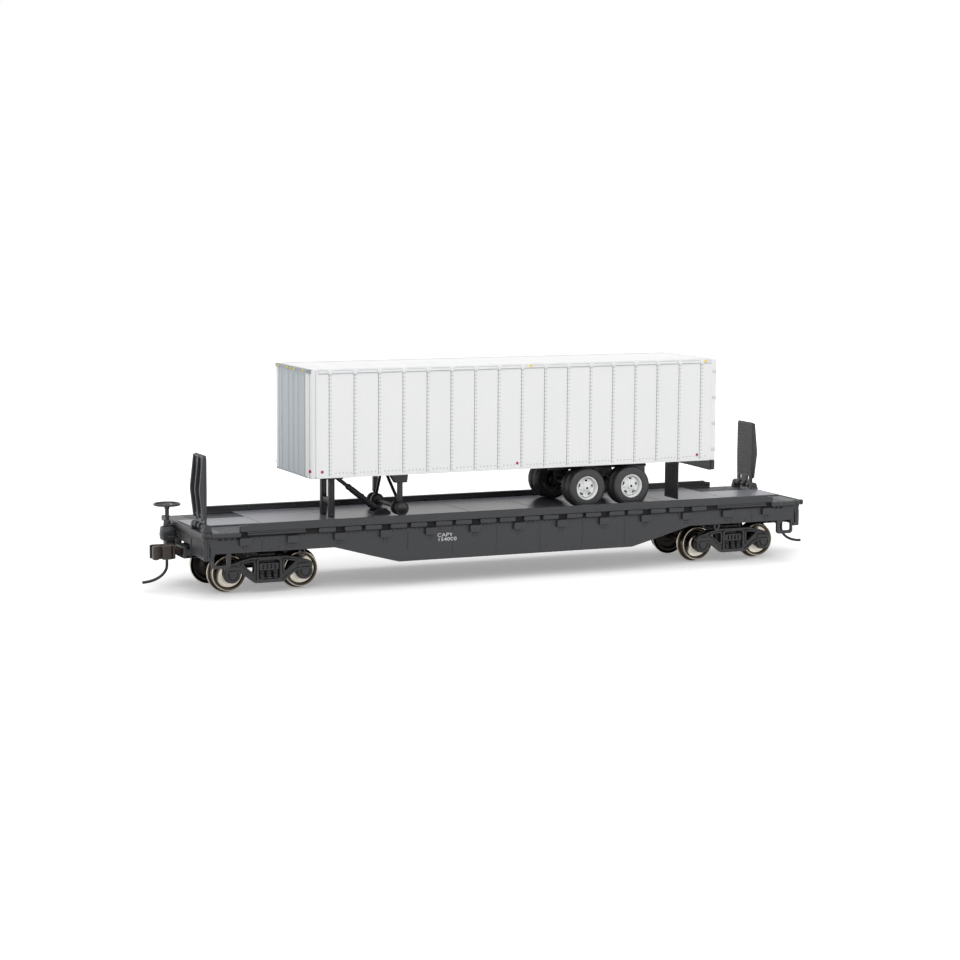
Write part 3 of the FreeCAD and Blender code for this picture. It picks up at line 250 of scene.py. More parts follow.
def block(x: Pair, y: Pair, z: Pair, edge: float = 0.12) -> Solid:
    """Return a box over three stretches with all of its edges eased."""
    x, y, z = (tuple(sorted(stretch)) for stretch in (x, y, z))
    edge = min(edge, *(0.3 * (high - low) for low, high in (x, y, z)))
    return extruded(Axis.Z, rounded(rectangle(x, y), edge, 1), *z, edge)


def turned(axis: Axis, profile: Sequence[Pair], centre: Pair, steps: int = 40, ring: bool = False) -> Solid:
    """Turn a profile about an axis.

    Args:
        axis: the axis it turns about.
        profile: pairs of place along the axis and radius, in order.
        centre: the axis's place on the other two axes.
        steps: faces round the turn.
        ring: whether the profile closes on itself round a hole.

    Returns:
        The closed shape.
    """
    along, across, up = axis.value
    points, rings, faces = [], [], []
    for place, radius in profile:
        count = steps if radius > 1e-6 else 1
        rings.append([len(points) + index for index in range(count)])
        for index in range(count):
            turn = math.tau * index / steps
            corner = [0.0, 0.0, 0.0]
            corner[along] = place
            corner[across] = centre[0] + radius * math.cos(turn)
            corner[up] = centre[1] + radius * math.sin(turn)
            points.append(corner)
    pairs = list(zip(rings, rings[1:] + rings[:1] if ring else rings[1:]))
    for lower, upper in pairs:
        for index in range(steps):
            after = (index + 1) % steps
            quad = (lower[index % len(lower)], lower[after % len(lower)],
                    upper[after % len(upper)], upper[index % len(upper)])
            face = tuple(dict.fromkeys(quad))
            if len(face) > 2:
                faces.append(face)
    if not ring:
        faces += [tuple(end) for end in (rings[0], rings[-1]) if len(end) > 2]
    return Solid(np.array(points), faces)


def bar(axis: Axis, stretch: Pair, centre: Pair, radius: float, steps: int = 24,
        edge: float = 0.08) -> Solid:
    """Return a round bar along an axis with eased ends."""
    low, high = sorted(stretch)
    edge = min(edge, (high - low) * 0.3, radius * 0.4)
    profile = [(low, radius - edge), (low + edge, radius), (high - edge, radius), (high, radius - edge)]
    return turned(axis, profile, centre, steps)


def rod(path: Sequence[Sequence[float]], radius: float, sides: int = 8, closed: bool = False) -> Solid:
    """Sweep a round section along a path.

    Args:
        path: its points in order.
        radius: the section's radius.
        sides: the section's sides.
        closed: whether the path's end joins its start.

    Returns:
        The closed shape.
    """
    spots = [Vector(spot) for spot in path]
    count = len(spots)
    points, across = [], None
    for index, spot in enumerate(spots):
        before = spots[index - 1] if closed or index else spot
        after = spots[(index + 1) % count] if closed or index + 1 < count else spot
        ahead = (after - before).normalized()
        across = ahead.orthogonal() if across is None else across
        across = (across - ahead * across.dot(ahead)).normalized()
        side = ahead.cross(across)
        for turn in (math.tau * step / sides for step in range(sides)):
            points.append(spot + (across * math.cos(turn) + side * math.sin(turn)) * radius)
    faces = []
    for index in range(count if closed else count - 1):
        here, there = index * sides, ((index + 1) % count) * sides
        for step in range(sides):
            after = (step + 1) % sides
            faces.append((here + step, here + after, there + after, there + step))
    if not closed:
        faces += [tuple(range(sides)), tuple(range((count - 1) * sides, count * sides))]
    return Solid(np.array([tuple(point) for point in points]), faces)


def rivet(radius: float, height: float, sides: int = 6) -> Solid:
    """Return a low domed rivet head that stands on the origin and points up Z."""
    profile = [(-0.4 * height, radius), (0.25 * height, radius), (0.75 * height, radius * 0.75),
               (height, radius * 0.35)]
    return turned(Axis.Z, profile, (0.0, 0.0), sides)


def facing(direction: Sequence[float]) -> Matrix:
    """Return the turn that points Z in a direction."""
    return Vector(direction).to_track_quat("Z", "Y").to_matrix().to_4x4()


class Shape:
    """All the closed solids of one piece."""

    def __init__(self) -> None:
        """Start with nothing."""
        self.points: list[np.ndarray] = []
        self.faces: list[tuple[int, ...]] = []
        self.total = 0

    def add(self, *solids: Solid) -> Shape:
        """Add solids where they are.

        Args:
            solids: the solids to add.

        Returns:
            This same shape.
        """
        for solid in solids:
            self.faces += [tuple(number + self.total for number in face) for face in solid.faces]
            self.points.append(solid.points)
            self.total += len(solid.points)
        return self

    def repeat(self, solid: Solid, places: Iterable[Sequence[float]]) -> Shape:
        """Add a copy of a solid at each place.

        Args:
            solid: the solid, made about the origin.
            places: where the copies go.

        Returns:
            This same shape.
        """
        for place in places:
            self.add(Solid(solid.points + np.array(place, float), solid.faces))
        return self

    def both(self, solid: Solid, axis: int = 1) -> Shape:
        """Add a solid and its mirror image across the middle of an axis.

        Args:
            solid: the solid.
            axis: the axis it is mirrored along.

        Returns:
            This same shape.
        """
        other = solid.points.copy()
        other[:, axis] *= -1
        return self.add(solid, Solid(other, solid.faces))

    def corners(self, solid: Solid) -> Shape:
        """Add a solid at all four corners of the car, mirrored along X and Y."""
        other = solid.points.copy()
        other[:, 0] *= -1
        return self.both(solid).both(Solid(other, solid.faces))


def add_node(tree: bpy.types.NodeTree, kind: str, settings: dict | None = None, links: dict | None = None):
    """Add a shader node with its settings and incoming links.

    Args:
        tree: the material's node tree.
        kind: the node's type name without its ShaderNode prefix.
        settings: properties or socket values by name.
        links: output sockets by the name or number of the input that each feeds.

    Returns:
        The new node.
    """
    item = tree.nodes.new("ShaderNode" + kind)
    for key, setting in (settings or {}).items():
        if isinstance(key, str) and hasattr(item, key):
            setattr(item, key, setting)
        else:
            item.inputs[key].default_value = setting
    for key, output in (links or {}).items():
        tree.links.new(output, item.inputs[key])
    return item


@dataclass(frozen=True)
class Finish:
    """A surface finish: two close colours, a range of gloss and fine relief.

    Args:
        name: the material's name.
        colour: its main sRGB colour.
        shade: its second sRGB colour, mixed in as soft patches.
        roughness: lowest and highest roughness.
        patch_mm: size of the colour patches.
        grain_mm: size of the relief's grain.
        relief: depth of the relief in millimetres.
        metallic: 1 for a metal.
        specular: specular level.
    """

    name: str
    colour: str
    shade: str
    roughness: Pair = (0.4, 0.5)
    patch_mm: float = 6.0
    grain_mm: float = 0.35
    relief: float = 0.01
    metallic: float = 0.0
    specular: float = 0.5

    def material(self) -> bpy.types.Material:
        """Return the finish's material, made the first time it is asked for."""
        made = bpy.data.materials.get(self.name)
        if made:
            return made
        made = bpy.data.materials.new(self.name)
        made.use_nodes = True
        tree = made.node_tree
        shader = tree.nodes["Principled BSDF"]
        place = add_node(tree, "TexCoord").outputs["Object"]
        patches = add_node(tree, "TexNoise", {"Scale": 1 / (self.patch_mm * MM), "Detail": 4.0},
                           {"Vector": place})
        mix = add_node(tree, "Mix", {"data_type": "RGBA"}, {"Factor": patches.outputs["Fac"]})
        mix.inputs[6].default_value = linear(self.colour)
        mix.inputs[7].default_value = linear(self.shade)
        tree.links.new(mix.outputs[2], shader.inputs["Base Color"])
        low, high = self.roughness
        gloss = add_node(tree, "MapRange", {"To Min": low, "To Max": high},
                         {"Value": patches.outputs["Fac"]})
        tree.links.new(gloss.outputs["Result"], shader.inputs["Roughness"])
        grain = add_node(tree, "TexNoise", {"Scale": 1 / (self.grain_mm * MM), "Detail": 2.0},
                         {"Vector": place})
        bump = add_node(tree, "Bump", {"Strength": 0.6, "Distance": self.relief * MM},
                        {"Height": grain.outputs["Fac"]})
        tree.links.new(bump.outputs["Normal"], shader.inputs["Normal"])
        shader.inputs["Metallic"].default_value = self.metallic
        shader.inputs["Specular IOR Level"].default_value = self.specular
        return made


# Painted styrene: a satin charcoal, slightly uneven in tone.
CAR_PAINT = Finish("charcoal_painted_styrene", "292a2d", "303134", (0.36, 0.5))
# The smooth plate in the middle of the deck: the charcoal paint lightened to a paler grey as painted sheen,
# and given a lower roughness.
DECK_SHEEN_PAINT = Finish("charcoal_plate_painted_sheen", "6f7077", "7a7b83", (0.24, 0.36), patch_mm=11.0)
# Moulded acetal: darker and waxier than the painted car, with a fine moulded grain.
TRUCK_ACETAL = Finish("black_moulded_acetal", "232325", "2c2c2e", (0.34, 0.5), grain_mm=0.25)
# Turned nickel silver: bright, warm and ringed by the lathe tool, used for the thin flange, lip and dish
# rings as painted highlights on edges that catch light.
WHEEL_HIGHLIGHT_NICKEL = Finish("nickel_silver_painted_highlight", "cbc5ba", "b0a99d", (0.12, 0.24), patch_mm=2.0, metallic=1.0)
# The same metal, darker and brown on the tread and the rim's face beside the bright edges: partly a duller
# tone and partly painted shade.
WHEEL_TREAD_DULL_AND_SHADED = Finish("dull_and_shaded_nickel_silver", "4c4339", "3f372f", (0.24, 0.36), patch_mm=1.5, metallic=1.0)
# Blackened metal on the backs of the wheels and the axles: near black, brown where it catches light.
WHEEL_BLACK = Finish("blackened_nickel_silver", "2e2a28", "3b3532", (0.35, 0.5), metallic=0.6)
# Brown acetal of the knuckle couplers: dull, with a slight sheen on its edges.
COUPLER_ACETAL = Finish("brown_moulded_acetal", "2c2420", "362c27", (0.34, 0.5))
# Blackened steel wire of the trip pins.
PIN_WIRE = Finish("blackened_steel_wire", "1c1c1e", "26262a", (0.28, 0.4), metallic=0.4)
# Satin lacquer over white plastic: even and clean, with faint warm patches.
TRAILER_WHITE = Finish("white_satin_lacquer", "efefee", "e9eaeb", (0.3, 0.4), patch_mm=14.0, relief=0.003)
# The same white, a little greyer, for the door hinges and lock rods.
SEAM_WHITE = Finish("white_seam_lacquer", "d9dbdc", "d0d3d5", (0.34, 0.44), patch_mm=9.0, relief=0.003)
# White rivet heads and the lines along the roof rail, greyed as painted shade for the dark dots and lines
# that shade makes there.
RIVET_PAINTED_SHADE = Finish("rivet_lacquer_painted_shade", "cdd1d5", "c3c8cd", (0.34, 0.44), patch_mm=3.0, relief=0.002)
# Silver-grey lacquer of the nose sheet.
NOSE_SILVER = Finish("silver_grey_lacquer", "a9b3ba", "b0bac0", (0.3, 0.4), patch_mm=10.0, relief=0.004)
# Darker bare-metal grey of the cap over the nose.
CAP_SILVER = Finish("cap_grey_lacquer", "a3aaac", "959da0", (0.3, 0.42), patch_mm=5.0, relief=0.004)
# Painted shadow: a black strip in the recess under the deck's edge, where shade falls.
RECESS_PAINTED_SHADOW = Finish("black_painted_recess_shadow", "070708", "0c0c0e", (0.8, 0.92), relief=0.002)
# Black styrene of the running gear: satin, with sharp highlights along its edges.
UNDERGEAR = Finish("black_moulded_styrene", "202022", "29292b", (0.34, 0.48))
# Moulded tyre: a dark grey with a soft sheen and a coarser moulded grain.
TYRE_RUBBER = Finish("black_moulded_rubber", "29292b", "343537", (0.34, 0.5), grain_mm=0.2, relief=0.02)
# White gloss lacquer of the road wheels.
RIM_WHITE = Finish("white_gloss_lacquer", "f6f6f6", "eeefef", (0.22, 0.32), relief=0.003)
# Clear coloured drops of paint over the lamps: glossy and saturated.
LAMP_AMBER = Finish("amber_lens_lacquer", "ffe000", "f6cc00", (0.12, 0.2), patch_mm=1.0, relief=0.001)
LAMP_RED = Finish("red_lens_lacquer", "b81a2c", "981324", (0.12, 0.2), patch_mm=1.0, relief=0.001)
# White printing ink: flat and slightly absorbed by the paint under it.
PRINT_WHITE = Finish("white_printing_ink", "dcdcda", "cfcfcd", (0.5, 0.6), patch_mm=1.5, relief=0.001)


@dataclass(frozen=True)
class Room:
    """The box that a CAD node fills, in millimetres."""

    x: Pair
    y: Pair
    z: Pair


@dataclass
class Bench:
    """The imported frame, and how a finished piece takes a node's place on it."""

    frame: dict
    bodies: dict[str, str] = field(init=False)
    slots: dict[str, str] = field(init=False)
    pieces: int = 0

    def __post_init__(self) -> None:
        """Look up the body and the material slot of every node."""
        record = self.frame["record"]
        groups = record["behaviour"]["bodies"]
        self.bodies = {node: body for body, nodes in groups.items() for node in nodes}
        self.slots = {part["node"]: part["material_slot"] for part in record["subparts"]}

    def room(self, node: str) -> Room:
        """Return the box that a node fills, in millimetres."""
        low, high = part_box(node)
        return Room(*((low[axis] / MM, high[axis] / MM) for axis in range(3)))

    def put(self, name: str, shape: Shape, finish: Finish, *nodes: str,
            smooth: float = 50.0) -> bpy.types.Object:
        """Make a piece, dress it and set it on the body of its nodes.

        Args:
            name: the piece's name.
            shape: its solids.
            finish: its finish.
            nodes: the CAD nodes it stands for, the first of which gives its body.
            smooth: the widest angle, in degrees, that is shaded smooth.

        Returns:
            The new object.
        """
        mesh = bpy.data.meshes.new(name)
        mesh.from_pydata(np.concatenate(shape.points) * MM, [], shape.faces)
        work = bmesh.new()
        work.from_mesh(mesh)
        bmesh.ops.recalc_face_normals(work, faces=work.faces)
        work.to_mesh(mesh)
        work.free()
        mesh.shade_smooth()
        mesh.set_sharp_from_angle(angle=math.radians(smooth))
        mesh.materials.append(finish.material())
        item = bpy.data.objects.new(name, mesh)
        bpy.context.scene.collection.objects.link(item)
        even = item.modifiers.new("even_normals", "WEIGHTED_NORMAL")
        even.keep_sharp = True
        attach(item, self.bodies[nodes[0]])
        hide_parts(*nodes)
        self.pieces += 1
        LOG.info("%s: %d faces for %s", name, len(shape.faces), ", ".join(nodes))
        return item


@dataclass
class TrailerBody:
    """The trailer's box: riveted sides, silver nose, roof, rear frame and doors."""

    bench: Bench
    seam_count: int = 17
    seam_pitch: float = 7.05
    first_seam: float = 3.12
    row_gap: float = 0.85
    rivet_pitch: float = 0.95
    panel_proud: float = 0.34
    groove: float = 0.26

    def build(self) -> None:
        """Build every part of the box."""
        self.seams = [self.bench.room("trailer_side_left").x[0] + self.first_seam + self.seam_pitch * index
                      for index in range(self.seam_count)]
        for side, word in ((-1, "left"), (1, "right")):
            self.side_wall(side, word)
        self.nose()
        self.nose_lamps()
        self.roof()
        self.rear()
        self.floor()

    def side_wall(self, side: int, word: str) -> None:
        """Build one side: wall, panels between the seams, rivet rows, roof rail and bottom rail.

        Args:
            side: -1 for the near side, 1 for the far side.
            word: its name.
        """
        node = f"trailer_side_{word}"
        room = self.bench.room(node)
        face = self.bench.room("trailer_rear_frame").y[1]
        inside = min(abs(room.y[0]), abs(room.y[1]))
        low, high = room.z
        rail_low, foot = high - 1.1, low + 0.55
        wall = Shape()
        skin = face - self.panel_proud
        wall.add(block(room.x, (side * inside, side * skin), room.z, 0.02))
        edges = [room.x[0] - self.groove, *self.seams, room.x[1] + self.groove]
        for start, end in zip(edges, edges[1:]):
            wall.add(block((start + self.groove / 2, end - self.groove / 2),
                           (side * (skin - 0.1), side * face), (foot, rail_low), 0.05))
        wall.add(block(room.x, (side * (skin - 0.1), side * (face + 0.08)), (low, foot), 0.06))
        self.bench.put(f"{word}_side_panels", wall, TRAILER_WHITE, node)
        self.roof_rail(side, word, node, face, rail_low, high, room.x)
        self.rivet_rows(side, word, node, face, foot, rail_low)
        self.marks(side, word, node, face, low, high)

    def roof_rail(self, side: int, word: str, node: str, face: float, low: float, high: float,
                  along: Pair) -> None:
        """Build the rail along the roof's edge, with a clip at each seam.

        Args:
            side: -1 or 1.
            word: the side's name.
            node: the CAD node it belongs to.
            face: the side's outer face.
            low: the rail's foot.
            high: its top.
            along: its stretch.
        """
        rail = Shape()
        rail.add(block(along, (side * (face - 0.7), side * (face + 0.16)), (low, high), 0.1))
        rail.add(block(along, (side * (face - 0.3), side * (face + 0.24)), (high - 0.28, high - 0.02), 0.07))
        rail.add(block(along, (side * (face - 0.3), side * (face + 0.24)), (low + 0.02, low + 0.2), 0.06))
        for seam in self.seams:
            clip = [(seam - 0.1, low - 0.25), (seam + 0.55, low - 0.25), (seam + 1.1, high - 0.2),
                    (seam - 0.65, high - 0.2)]
            low_y, high_y = sorted((side * face, side * (face + 0.42)))
            rail.add(extruded(Axis.Y, rounded(clip, 0.12, 2), low_y, high_y, 0.06))
        self.bench.put(f"{word}_roof_rail", rail, TRAILER_WHITE, node)
        # Grey strips under the rail's foot and under its top lip: painted shade lines.
        shade_lines = Shape()
        for z in (low - 0.1, high - 0.42):
            shade_lines.add(block(along, (side * (face - 0.1), side * (face + 0.19)), (z - 0.07, z + 0.07)))
        self.bench.put(f"{word}_rail_painted_shade_lines", shade_lines, RIVET_PAINTED_SHADE, node)

    def rivet_rows(self, side: int, word: str, node: str, face: float, low: float, high: float) -> None:
        """Set the double rivet rows at each seam and the short rows along the foot of each panel.

        Args:
            side: -1 or 1.
            word: the side's name.
            node: the CAD node it belongs to.
            face: the side's outer face.
            low: the foot of the rows.
            high: their top.
        """
        # The side rivets are grey: painted shade for the dark dotted rows along the seams.
        head = rivet(0.2, 0.15).moved(facing((0, side, 0)))
        rows = Shape()
        heights = spread(low + 0.5, high - 0.5, int((high - low - 1) / self.rivet_pitch))
        for seam in self.seams:
            for across in (-0.3, self.row_gap - 0.3):
                rows.repeat(head, [(seam + across + 0.3 * (across < 0), side * face, z) for z in heights])
            places = spread(seam + 1.9, seam + self.seam_pitch - 0.9, 5)
            rows.repeat(head, [(x, side * face, low + 0.75) for x in places if x < 60.5])
        self.bench.put(f"{word}_side_rivets", rows, RIVET_PAINTED_SHADE, node)

    def marks(self, side: int, word: str, node: str, face: float, low: float, high: float) -> None:
        """Set the red reflectors low on the side and the amber lamps on its roof rail.

        Args:
            side: -1 or 1.
            word: the side's name.
            node: the CAD node it belongs to.
            face: the side's outer face.
            low: the side's foot.
            high: its top.
        """
        red, amber, rims = Shape(), Shape(), Shape()
        for x in (-56.4, 0.9, 57.6):
            place = Matrix.Translation((x, side * (face - 0.05), low + 1.75)) @ facing((0, side, 0))
            red.add(rivet(0.45, 0.16, 16).moved(place))
            rims.add(turned(Axis.Z, [(0, 0.55), (0.13, 0.53), (0.13, 0.43), (0, 0.43)], (0, 0), 16,
                            True).moved(place))
        for x in (4.8, 59.9):
            place = Matrix.Translation((x, side * (face + 0.1), high - 0.55)) @ facing((0, side, 0))
            amber.add(rivet(0.42, 0.22, 14).moved(place))
        self.bench.put(f"{word}_side_reflectors", red, LAMP_RED, node)
        self.bench.put(f"{word}_reflector_rims", rims, TRAILER_WHITE, node)
        self.bench.put(f"{word}_roof_lamps", amber, LAMP_AMBER, node)

    def arc(self, radius: float, room: Room, side: int, start: float, end: float, steps: int = 8) -> Outline:
        """Return part of a front corner's round, from its front (0) to its side (90 degrees)."""
        centre_x, centre_y = room.x[1], side * (room.y[1] - 2.3)
        turns = [math.radians(start + (end - start) * step / steps) for step in range(steps + 1)]
        return [(centre_x - radius * math.cos(t), centre_y + side * radius * math.sin(t)) for t in turns]

    def nose(self) -> None:
        """Build the silver front sheet with its ribs, the white corner posts and the cap."""
        room = self.bench.room("trailer_nose")
        low, high = room.z
        front = room.x[0]
        flat = room.y[1] - 2.3
        sheet, posts, cap = Shape(), Shape(), Shape()
        sheet.add(block((front + 0.12, front + 0.8), (-flat, flat), (low, high - 0.4), 0.03))
        for y in (-3.9, 0.0, 3.9):
            outline = [(y - 1.35, front + 0.2), (y + 1.35, front + 0.2), (y + 0.95, front),
                       (y - 0.95, front)]
            rib = extruded(Axis.Z, rounded([(x, across) for across, x in outline], 0.15), low + 0.5,
                           high - 1.6, 0.05)
            sheet.add(rib)
        for y in (-8.9, 8.9):
            sheet.add(block((front + 0.04, front + 0.3), (y - 0.9, y + 0.9), (low + 0.5, high - 1.6), 0.06))
        head = rivet(0.14, 0.08).moved(facing((-1, 0, 0)))
        for y in (-10.2, -7.6, -6.2, -2.05, 2.05, 6.2, 7.6, 10.2):
            sheet.repeat(head, [(front + 0.12, y, z) for z in spread(low + 1.2, high - 2.2, 24)])
        self.bench.put("nose_sheet", sheet, NOSE_SILVER, "trailer_nose")
        for side in BOTH:
            for start, end, inset in ((0, 26, 0.0), (26, 33, 0.5), (33, 71, 0.0), (71, 78, 0.3),
                                      (78, 90, 0.0)):
                outer = self.arc(2.3 - inset, room, side, start, end)
                inner = self.arc(1.6, room, side, start, end)
                posts.add(extruded(Axis.Z, outer + inner[::-1], low, high - 0.3))
            posts.add(block((front, front + 0.5), (side * 10.9, side * (flat + 0.02)), (low, high - 0.3),
                            0.05))
            posts.add(block((room.x[1] - 0.6, room.x[1] + 0.05),
                            (side * (flat + 1.5), side * (room.y[1] - 0.12)), (low, high - 0.3), 0.02))
        for foot, head_z, proud in ((high - 1.0, high - 0.02, 0.22), (high - 0.3, high - 0.12, 0.3),
                                    (high - 0.98, high - 0.8, 0.3)):
            band = self.arc(1.4, room, 1, 0, 42) + self.arc(2.3 + proud, room, 1, 42, 0)
            band += self.arc(2.3 + proud, room, -1, 0, 42) + self.arc(1.4, room, -1, 42, 0)
            cap.add(extruded(Axis.Z, turning(band, True), foot, head_z, 0.05))
        back, edge = self.bench.room("trailer_roof").x[0], room.y[1] - 0.1
        lid = [(back, -edge), (back, edge), *self.arc(2.2, room, 1, 90, 0), *self.arc(2.2, room, -1, 0, 90)]
        posts.add(extruded(Axis.Z, turning(lid, True), high - 0.5, high - 0.05, 0.03))
        band = [*self.arc(1.6, room, 1, 0, 90), *self.arc(2.3, room, 1, 90, 0),
                *self.arc(2.3, room, -1, 0, 90), *self.arc(1.6, room, -1, 90, 0)]
        band = turning(band, True)
        cap.add(extruded(Axis.Z, band, low, low + 0.5, 0.06))
        self.bench.put("nose_corner_posts", posts, TRAILER_WHITE, "trailer_nose")
        self.bench.put("nose_cap", cap, CAP_SILVER, "trailer_nose")

    def nose_lamps(self) -> None:
        """Set five amber lamps on the cap and a red reflector low on each corner post."""
        room = self.bench.room("trailer_nose")
        amber, red, seats = Shape(), Shape(), Shape()
        for y in (-9.8, -2.8, 0.0, 2.8, 9.8):
            place = Matrix.Translation((room.x[0] - 0.2, y, room.z[1] - 0.55)) @ facing((-1, 0, 0))
            amber.add(rivet(0.4, 0.3, 14).moved(place))
            seats.add(turned(Axis.Z, [(0, 0.52), (0.1, 0.5), (0.12, 0.4), (0, 0.38)], (0, 0), 14,
                             True).moved(place))
        for side in BOTH:
            outward = (-0.85, side * 0.5, 0)
            place = Matrix.Translation((room.x[0] + 0.4, side * (room.y[1] - 1.15), room.z[0] + 1.9))
            red.add(rivet(0.5, 0.2, 14).moved(place @ facing(outward)))
        self.bench.put("cap_lamps", amber, LAMP_AMBER, "trailer_nose")
        self.bench.put("cap_lamp_seats", seats, CAP_SILVER, "trailer_nose")
        self.bench.put("corner_reflectors", red, LAMP_RED, "trailer_nose")

    def roof(self) -> None:
        """Build the roof sheet with a lapped joint over every seam and rivets along its edges."""
        room = self.bench.room("trailer_roof")
        top = room.z[1]
        sheet = Shape()
        sheet.add(block(room.x, room.y, (room.z[0], top - 0.22), 0.04))
        edges = [room.x[0], *self.seams, room.x[1]]
        half = room.y[1] - 0.25
        for start, end in zip(edges, edges[1:]):
            crown = [(-half, top - 0.3), (half, top - 0.3), (half, top - 0.2), (half * 0.5, top - 0.1),
                     (0, top - 0.06), (-half * 0.5, top - 0.1), (-half, top - 0.2)]
            sheet.add(extruded(Axis.X, crown, start + 0.07, end - 0.07, 0.04))
        head = rivet(0.13, 0.07)
        for seam in self.seams:
            sheet.repeat(head, [(seam + 0.4, y, top - 0.2 + 0.12 * (1 - abs(y) / half))
                                for y in spread(1 - half, half - 1, 22)])
        for side in BOTH:
            sheet.repeat(head, [(x, side * (half - 0.35), top - 0.19)
                                for x in spread(room.x[0] + 0.6, room.x[1] - 0.6, 110)])
        self.bench.put("roof_sheet", sheet, TRAILER_WHITE, "trailer_roof")

    def rear(self) -> None:
        """Build the rear frame, both doors, their hinges, lock rods and lamps."""
        room = self.bench.room("trailer_rear_frame")
        rear = room.x[1]
        low, high = room.z
        half = room.y[1]
        frame = Shape()
        outline = rectangle((-half, half), (low, high))
        hole = rectangle((1.2 - half, half - 1.2), (low + 1.2, high - 1.2))
        frame.add(extruded(Axis.X, rounded(outline, 0.3), room.x[0], rear, 0.12, [rounded(hole, 0.2)]))
        head = rivet(0.15, 0.08)
        for side in BOTH:
            spots = [(room.x[0] + 0.35, side * half, z) for z in spread(low + 0.8, high - 1.6, 26)]
            frame.repeat(head.moved(facing((0, side, 0))), spots)
        self.bench.put("rear_frame", frame, TRAILER_WHITE, "trailer_rear_frame")
        self.hinges(rear, low, high, half)
        for side, word in ((-1, "left"), (1, "right")):
            self.door(side, word, rear, low, high)
        self.rear_lamps(rear, low, high, half)

    def hinges(self, rear: float, low: float, high: float, half: float) -> None:
        """Set four strap hinges up each rear post, round its corner."""
        straps = Shape()
        for z in spread(low + 3.2, high - 3.6, 4):
            straps.both(block((rear - 1.35, rear - 0.25), (half - 0.05, half + 0.1), (z - 0.42, z + 0.42),
                              0.05))
            straps.both(bar(Axis.Z, (z - 0.6, z + 0.6), (rear - 0.22, half - 0.05), 0.2, 12))
            straps.both(block((rear - 0.4, rear - 0.08), (half - 4.2, half - 0.1), (z - 0.32, z + 0.32),
                              0.06))
        self.bench.put("door_hinges", straps, SEAM_WHITE, "trailer_rear_frame")

    def door(self, side: int, word: str, rear: float, low: float, high: float) -> None:
        """Build one rear door with its ribs, edge gasket, lock rods, keepers and handle.

        Args:
            side: -1 or 1.
            word: the door's name.
            rear: the rear frame's outer face.
            low: the frame's foot.
            high: the frame's top.
        """
        node = f"rear_door_{word}"
        room = self.bench.room(node)
        leaf = Shape()
        leaf.add(block(room.x, room.y, room.z, 0.15))
        face = room.x[1]
        inner, outer = sorted((abs(room.y[0]), abs(room.y[1])))
        for low_y, high_y in ((inner + 0.15, inner + 1.0), (outer - 1.0, outer - 0.15)):
            leaf.add(block((face - 0.1, face + 0.14), (side * low_y, side * high_y),
                           (room.z[0] + 0.15, room.z[1] - 0.15), 0.06))
        for z in (room.z[0] + 0.55, room.z[1] - 0.55):
            leaf.add(block((face - 0.1, face + 0.14), (side * (inner + 1.0), side * (outer - 1.0)),
                           (z - 0.4, z + 0.4), 0.06))
        head = rivet(0.13, 0.07).moved(facing((1, 0, 0)))
        for y in (inner + 0.6, outer - 0.6):
            leaf.repeat(head, [(face + 0.13, side * y, z)
                               for z in spread(room.z[0] + 0.8, room.z[1] - 0.8, 26)])
        self.bench.put(f"{word}_door_leaf", leaf, TRAILER_WHITE, node)
        locks = Shape()
        for y in (inner + 3.0, inner + 8.6):
            locks.add(bar(Axis.Z, (low + 0.35, high - 0.35), (rear - 0.27, side * y), 0.22, 14))
            for z in (low + 0.6, low + 9.0, high - 9.0, high - 0.6):
                locks.add(block((rear - 0.5, rear - 0.04), (side * (y - 0.45), side * (y + 0.45)),
                                (z - 0.35, z + 0.35), 0.08))
            locks.add(block((rear - 0.34, rear - 0.06), (side * (y - 0.2), side * (y - 2.3)),
                            (low + 10.6, low + 11.2), 0.08))
            locks.add(block((rear - 0.5, rear - 0.1), (side * (y - 2.5), side * (y - 1.9)),
                            (low + 10.4, low + 11.4), 0.08))
        self.bench.put(f"{word}_door_locks", locks, SEAM_WHITE, node)

    def rear_lamps(self, rear: float, low: float, high: float, half: float) -> None:
        """Set red lamps over the doors and at the foot of each rear post."""
        red = Shape()
        turn = facing((1, 0, 0))
        for y in (-half + 1.6, -2.6, 0.0, 2.6, half - 1.6):
            red.add(rivet(0.36, 0.1, 14).moved(Matrix.Translation((rear - 0.1, y, high - 0.62)) @ turn))
        for y in (-half + 0.62, half - 0.62):
            for z in (low + 1.6, low + 2.7):
                red.add(rivet(0.4, 0.1, 14).moved(Matrix.Translation((rear - 0.1, y, z)) @ turn))
        self.bench.put("rear_lamps", red, LAMP_RED, "trailer_rear_frame")

    def floor(self) -> None:
        """Build the floor with its cross members."""
        room = self.bench.room("trailer_floor")
        under = Shape()
        under.add(block(room.x, room.y, room.z, 0.03))
        foot = self.bench.room("trailer_side_left").z[0]
        for x in spread(room.x[0] + 1.2, room.x[1] - 1.2, 50):
            under.add(block((x - 0.35, x + 0.35), room.y, (foot + 0.04, room.z[0] + 0.1), 0.04))
        self.bench.put("trailer_floor_frame", under, UNDERGEAR, "trailer_floor")


def pocket_places() -> list[float]:
    """Return the places of the stake pockets along the car."""
    reach = POCKET_PITCH * (POCKET_COUNT // 2)
    return spread(-reach, reach, POCKET_COUNT)


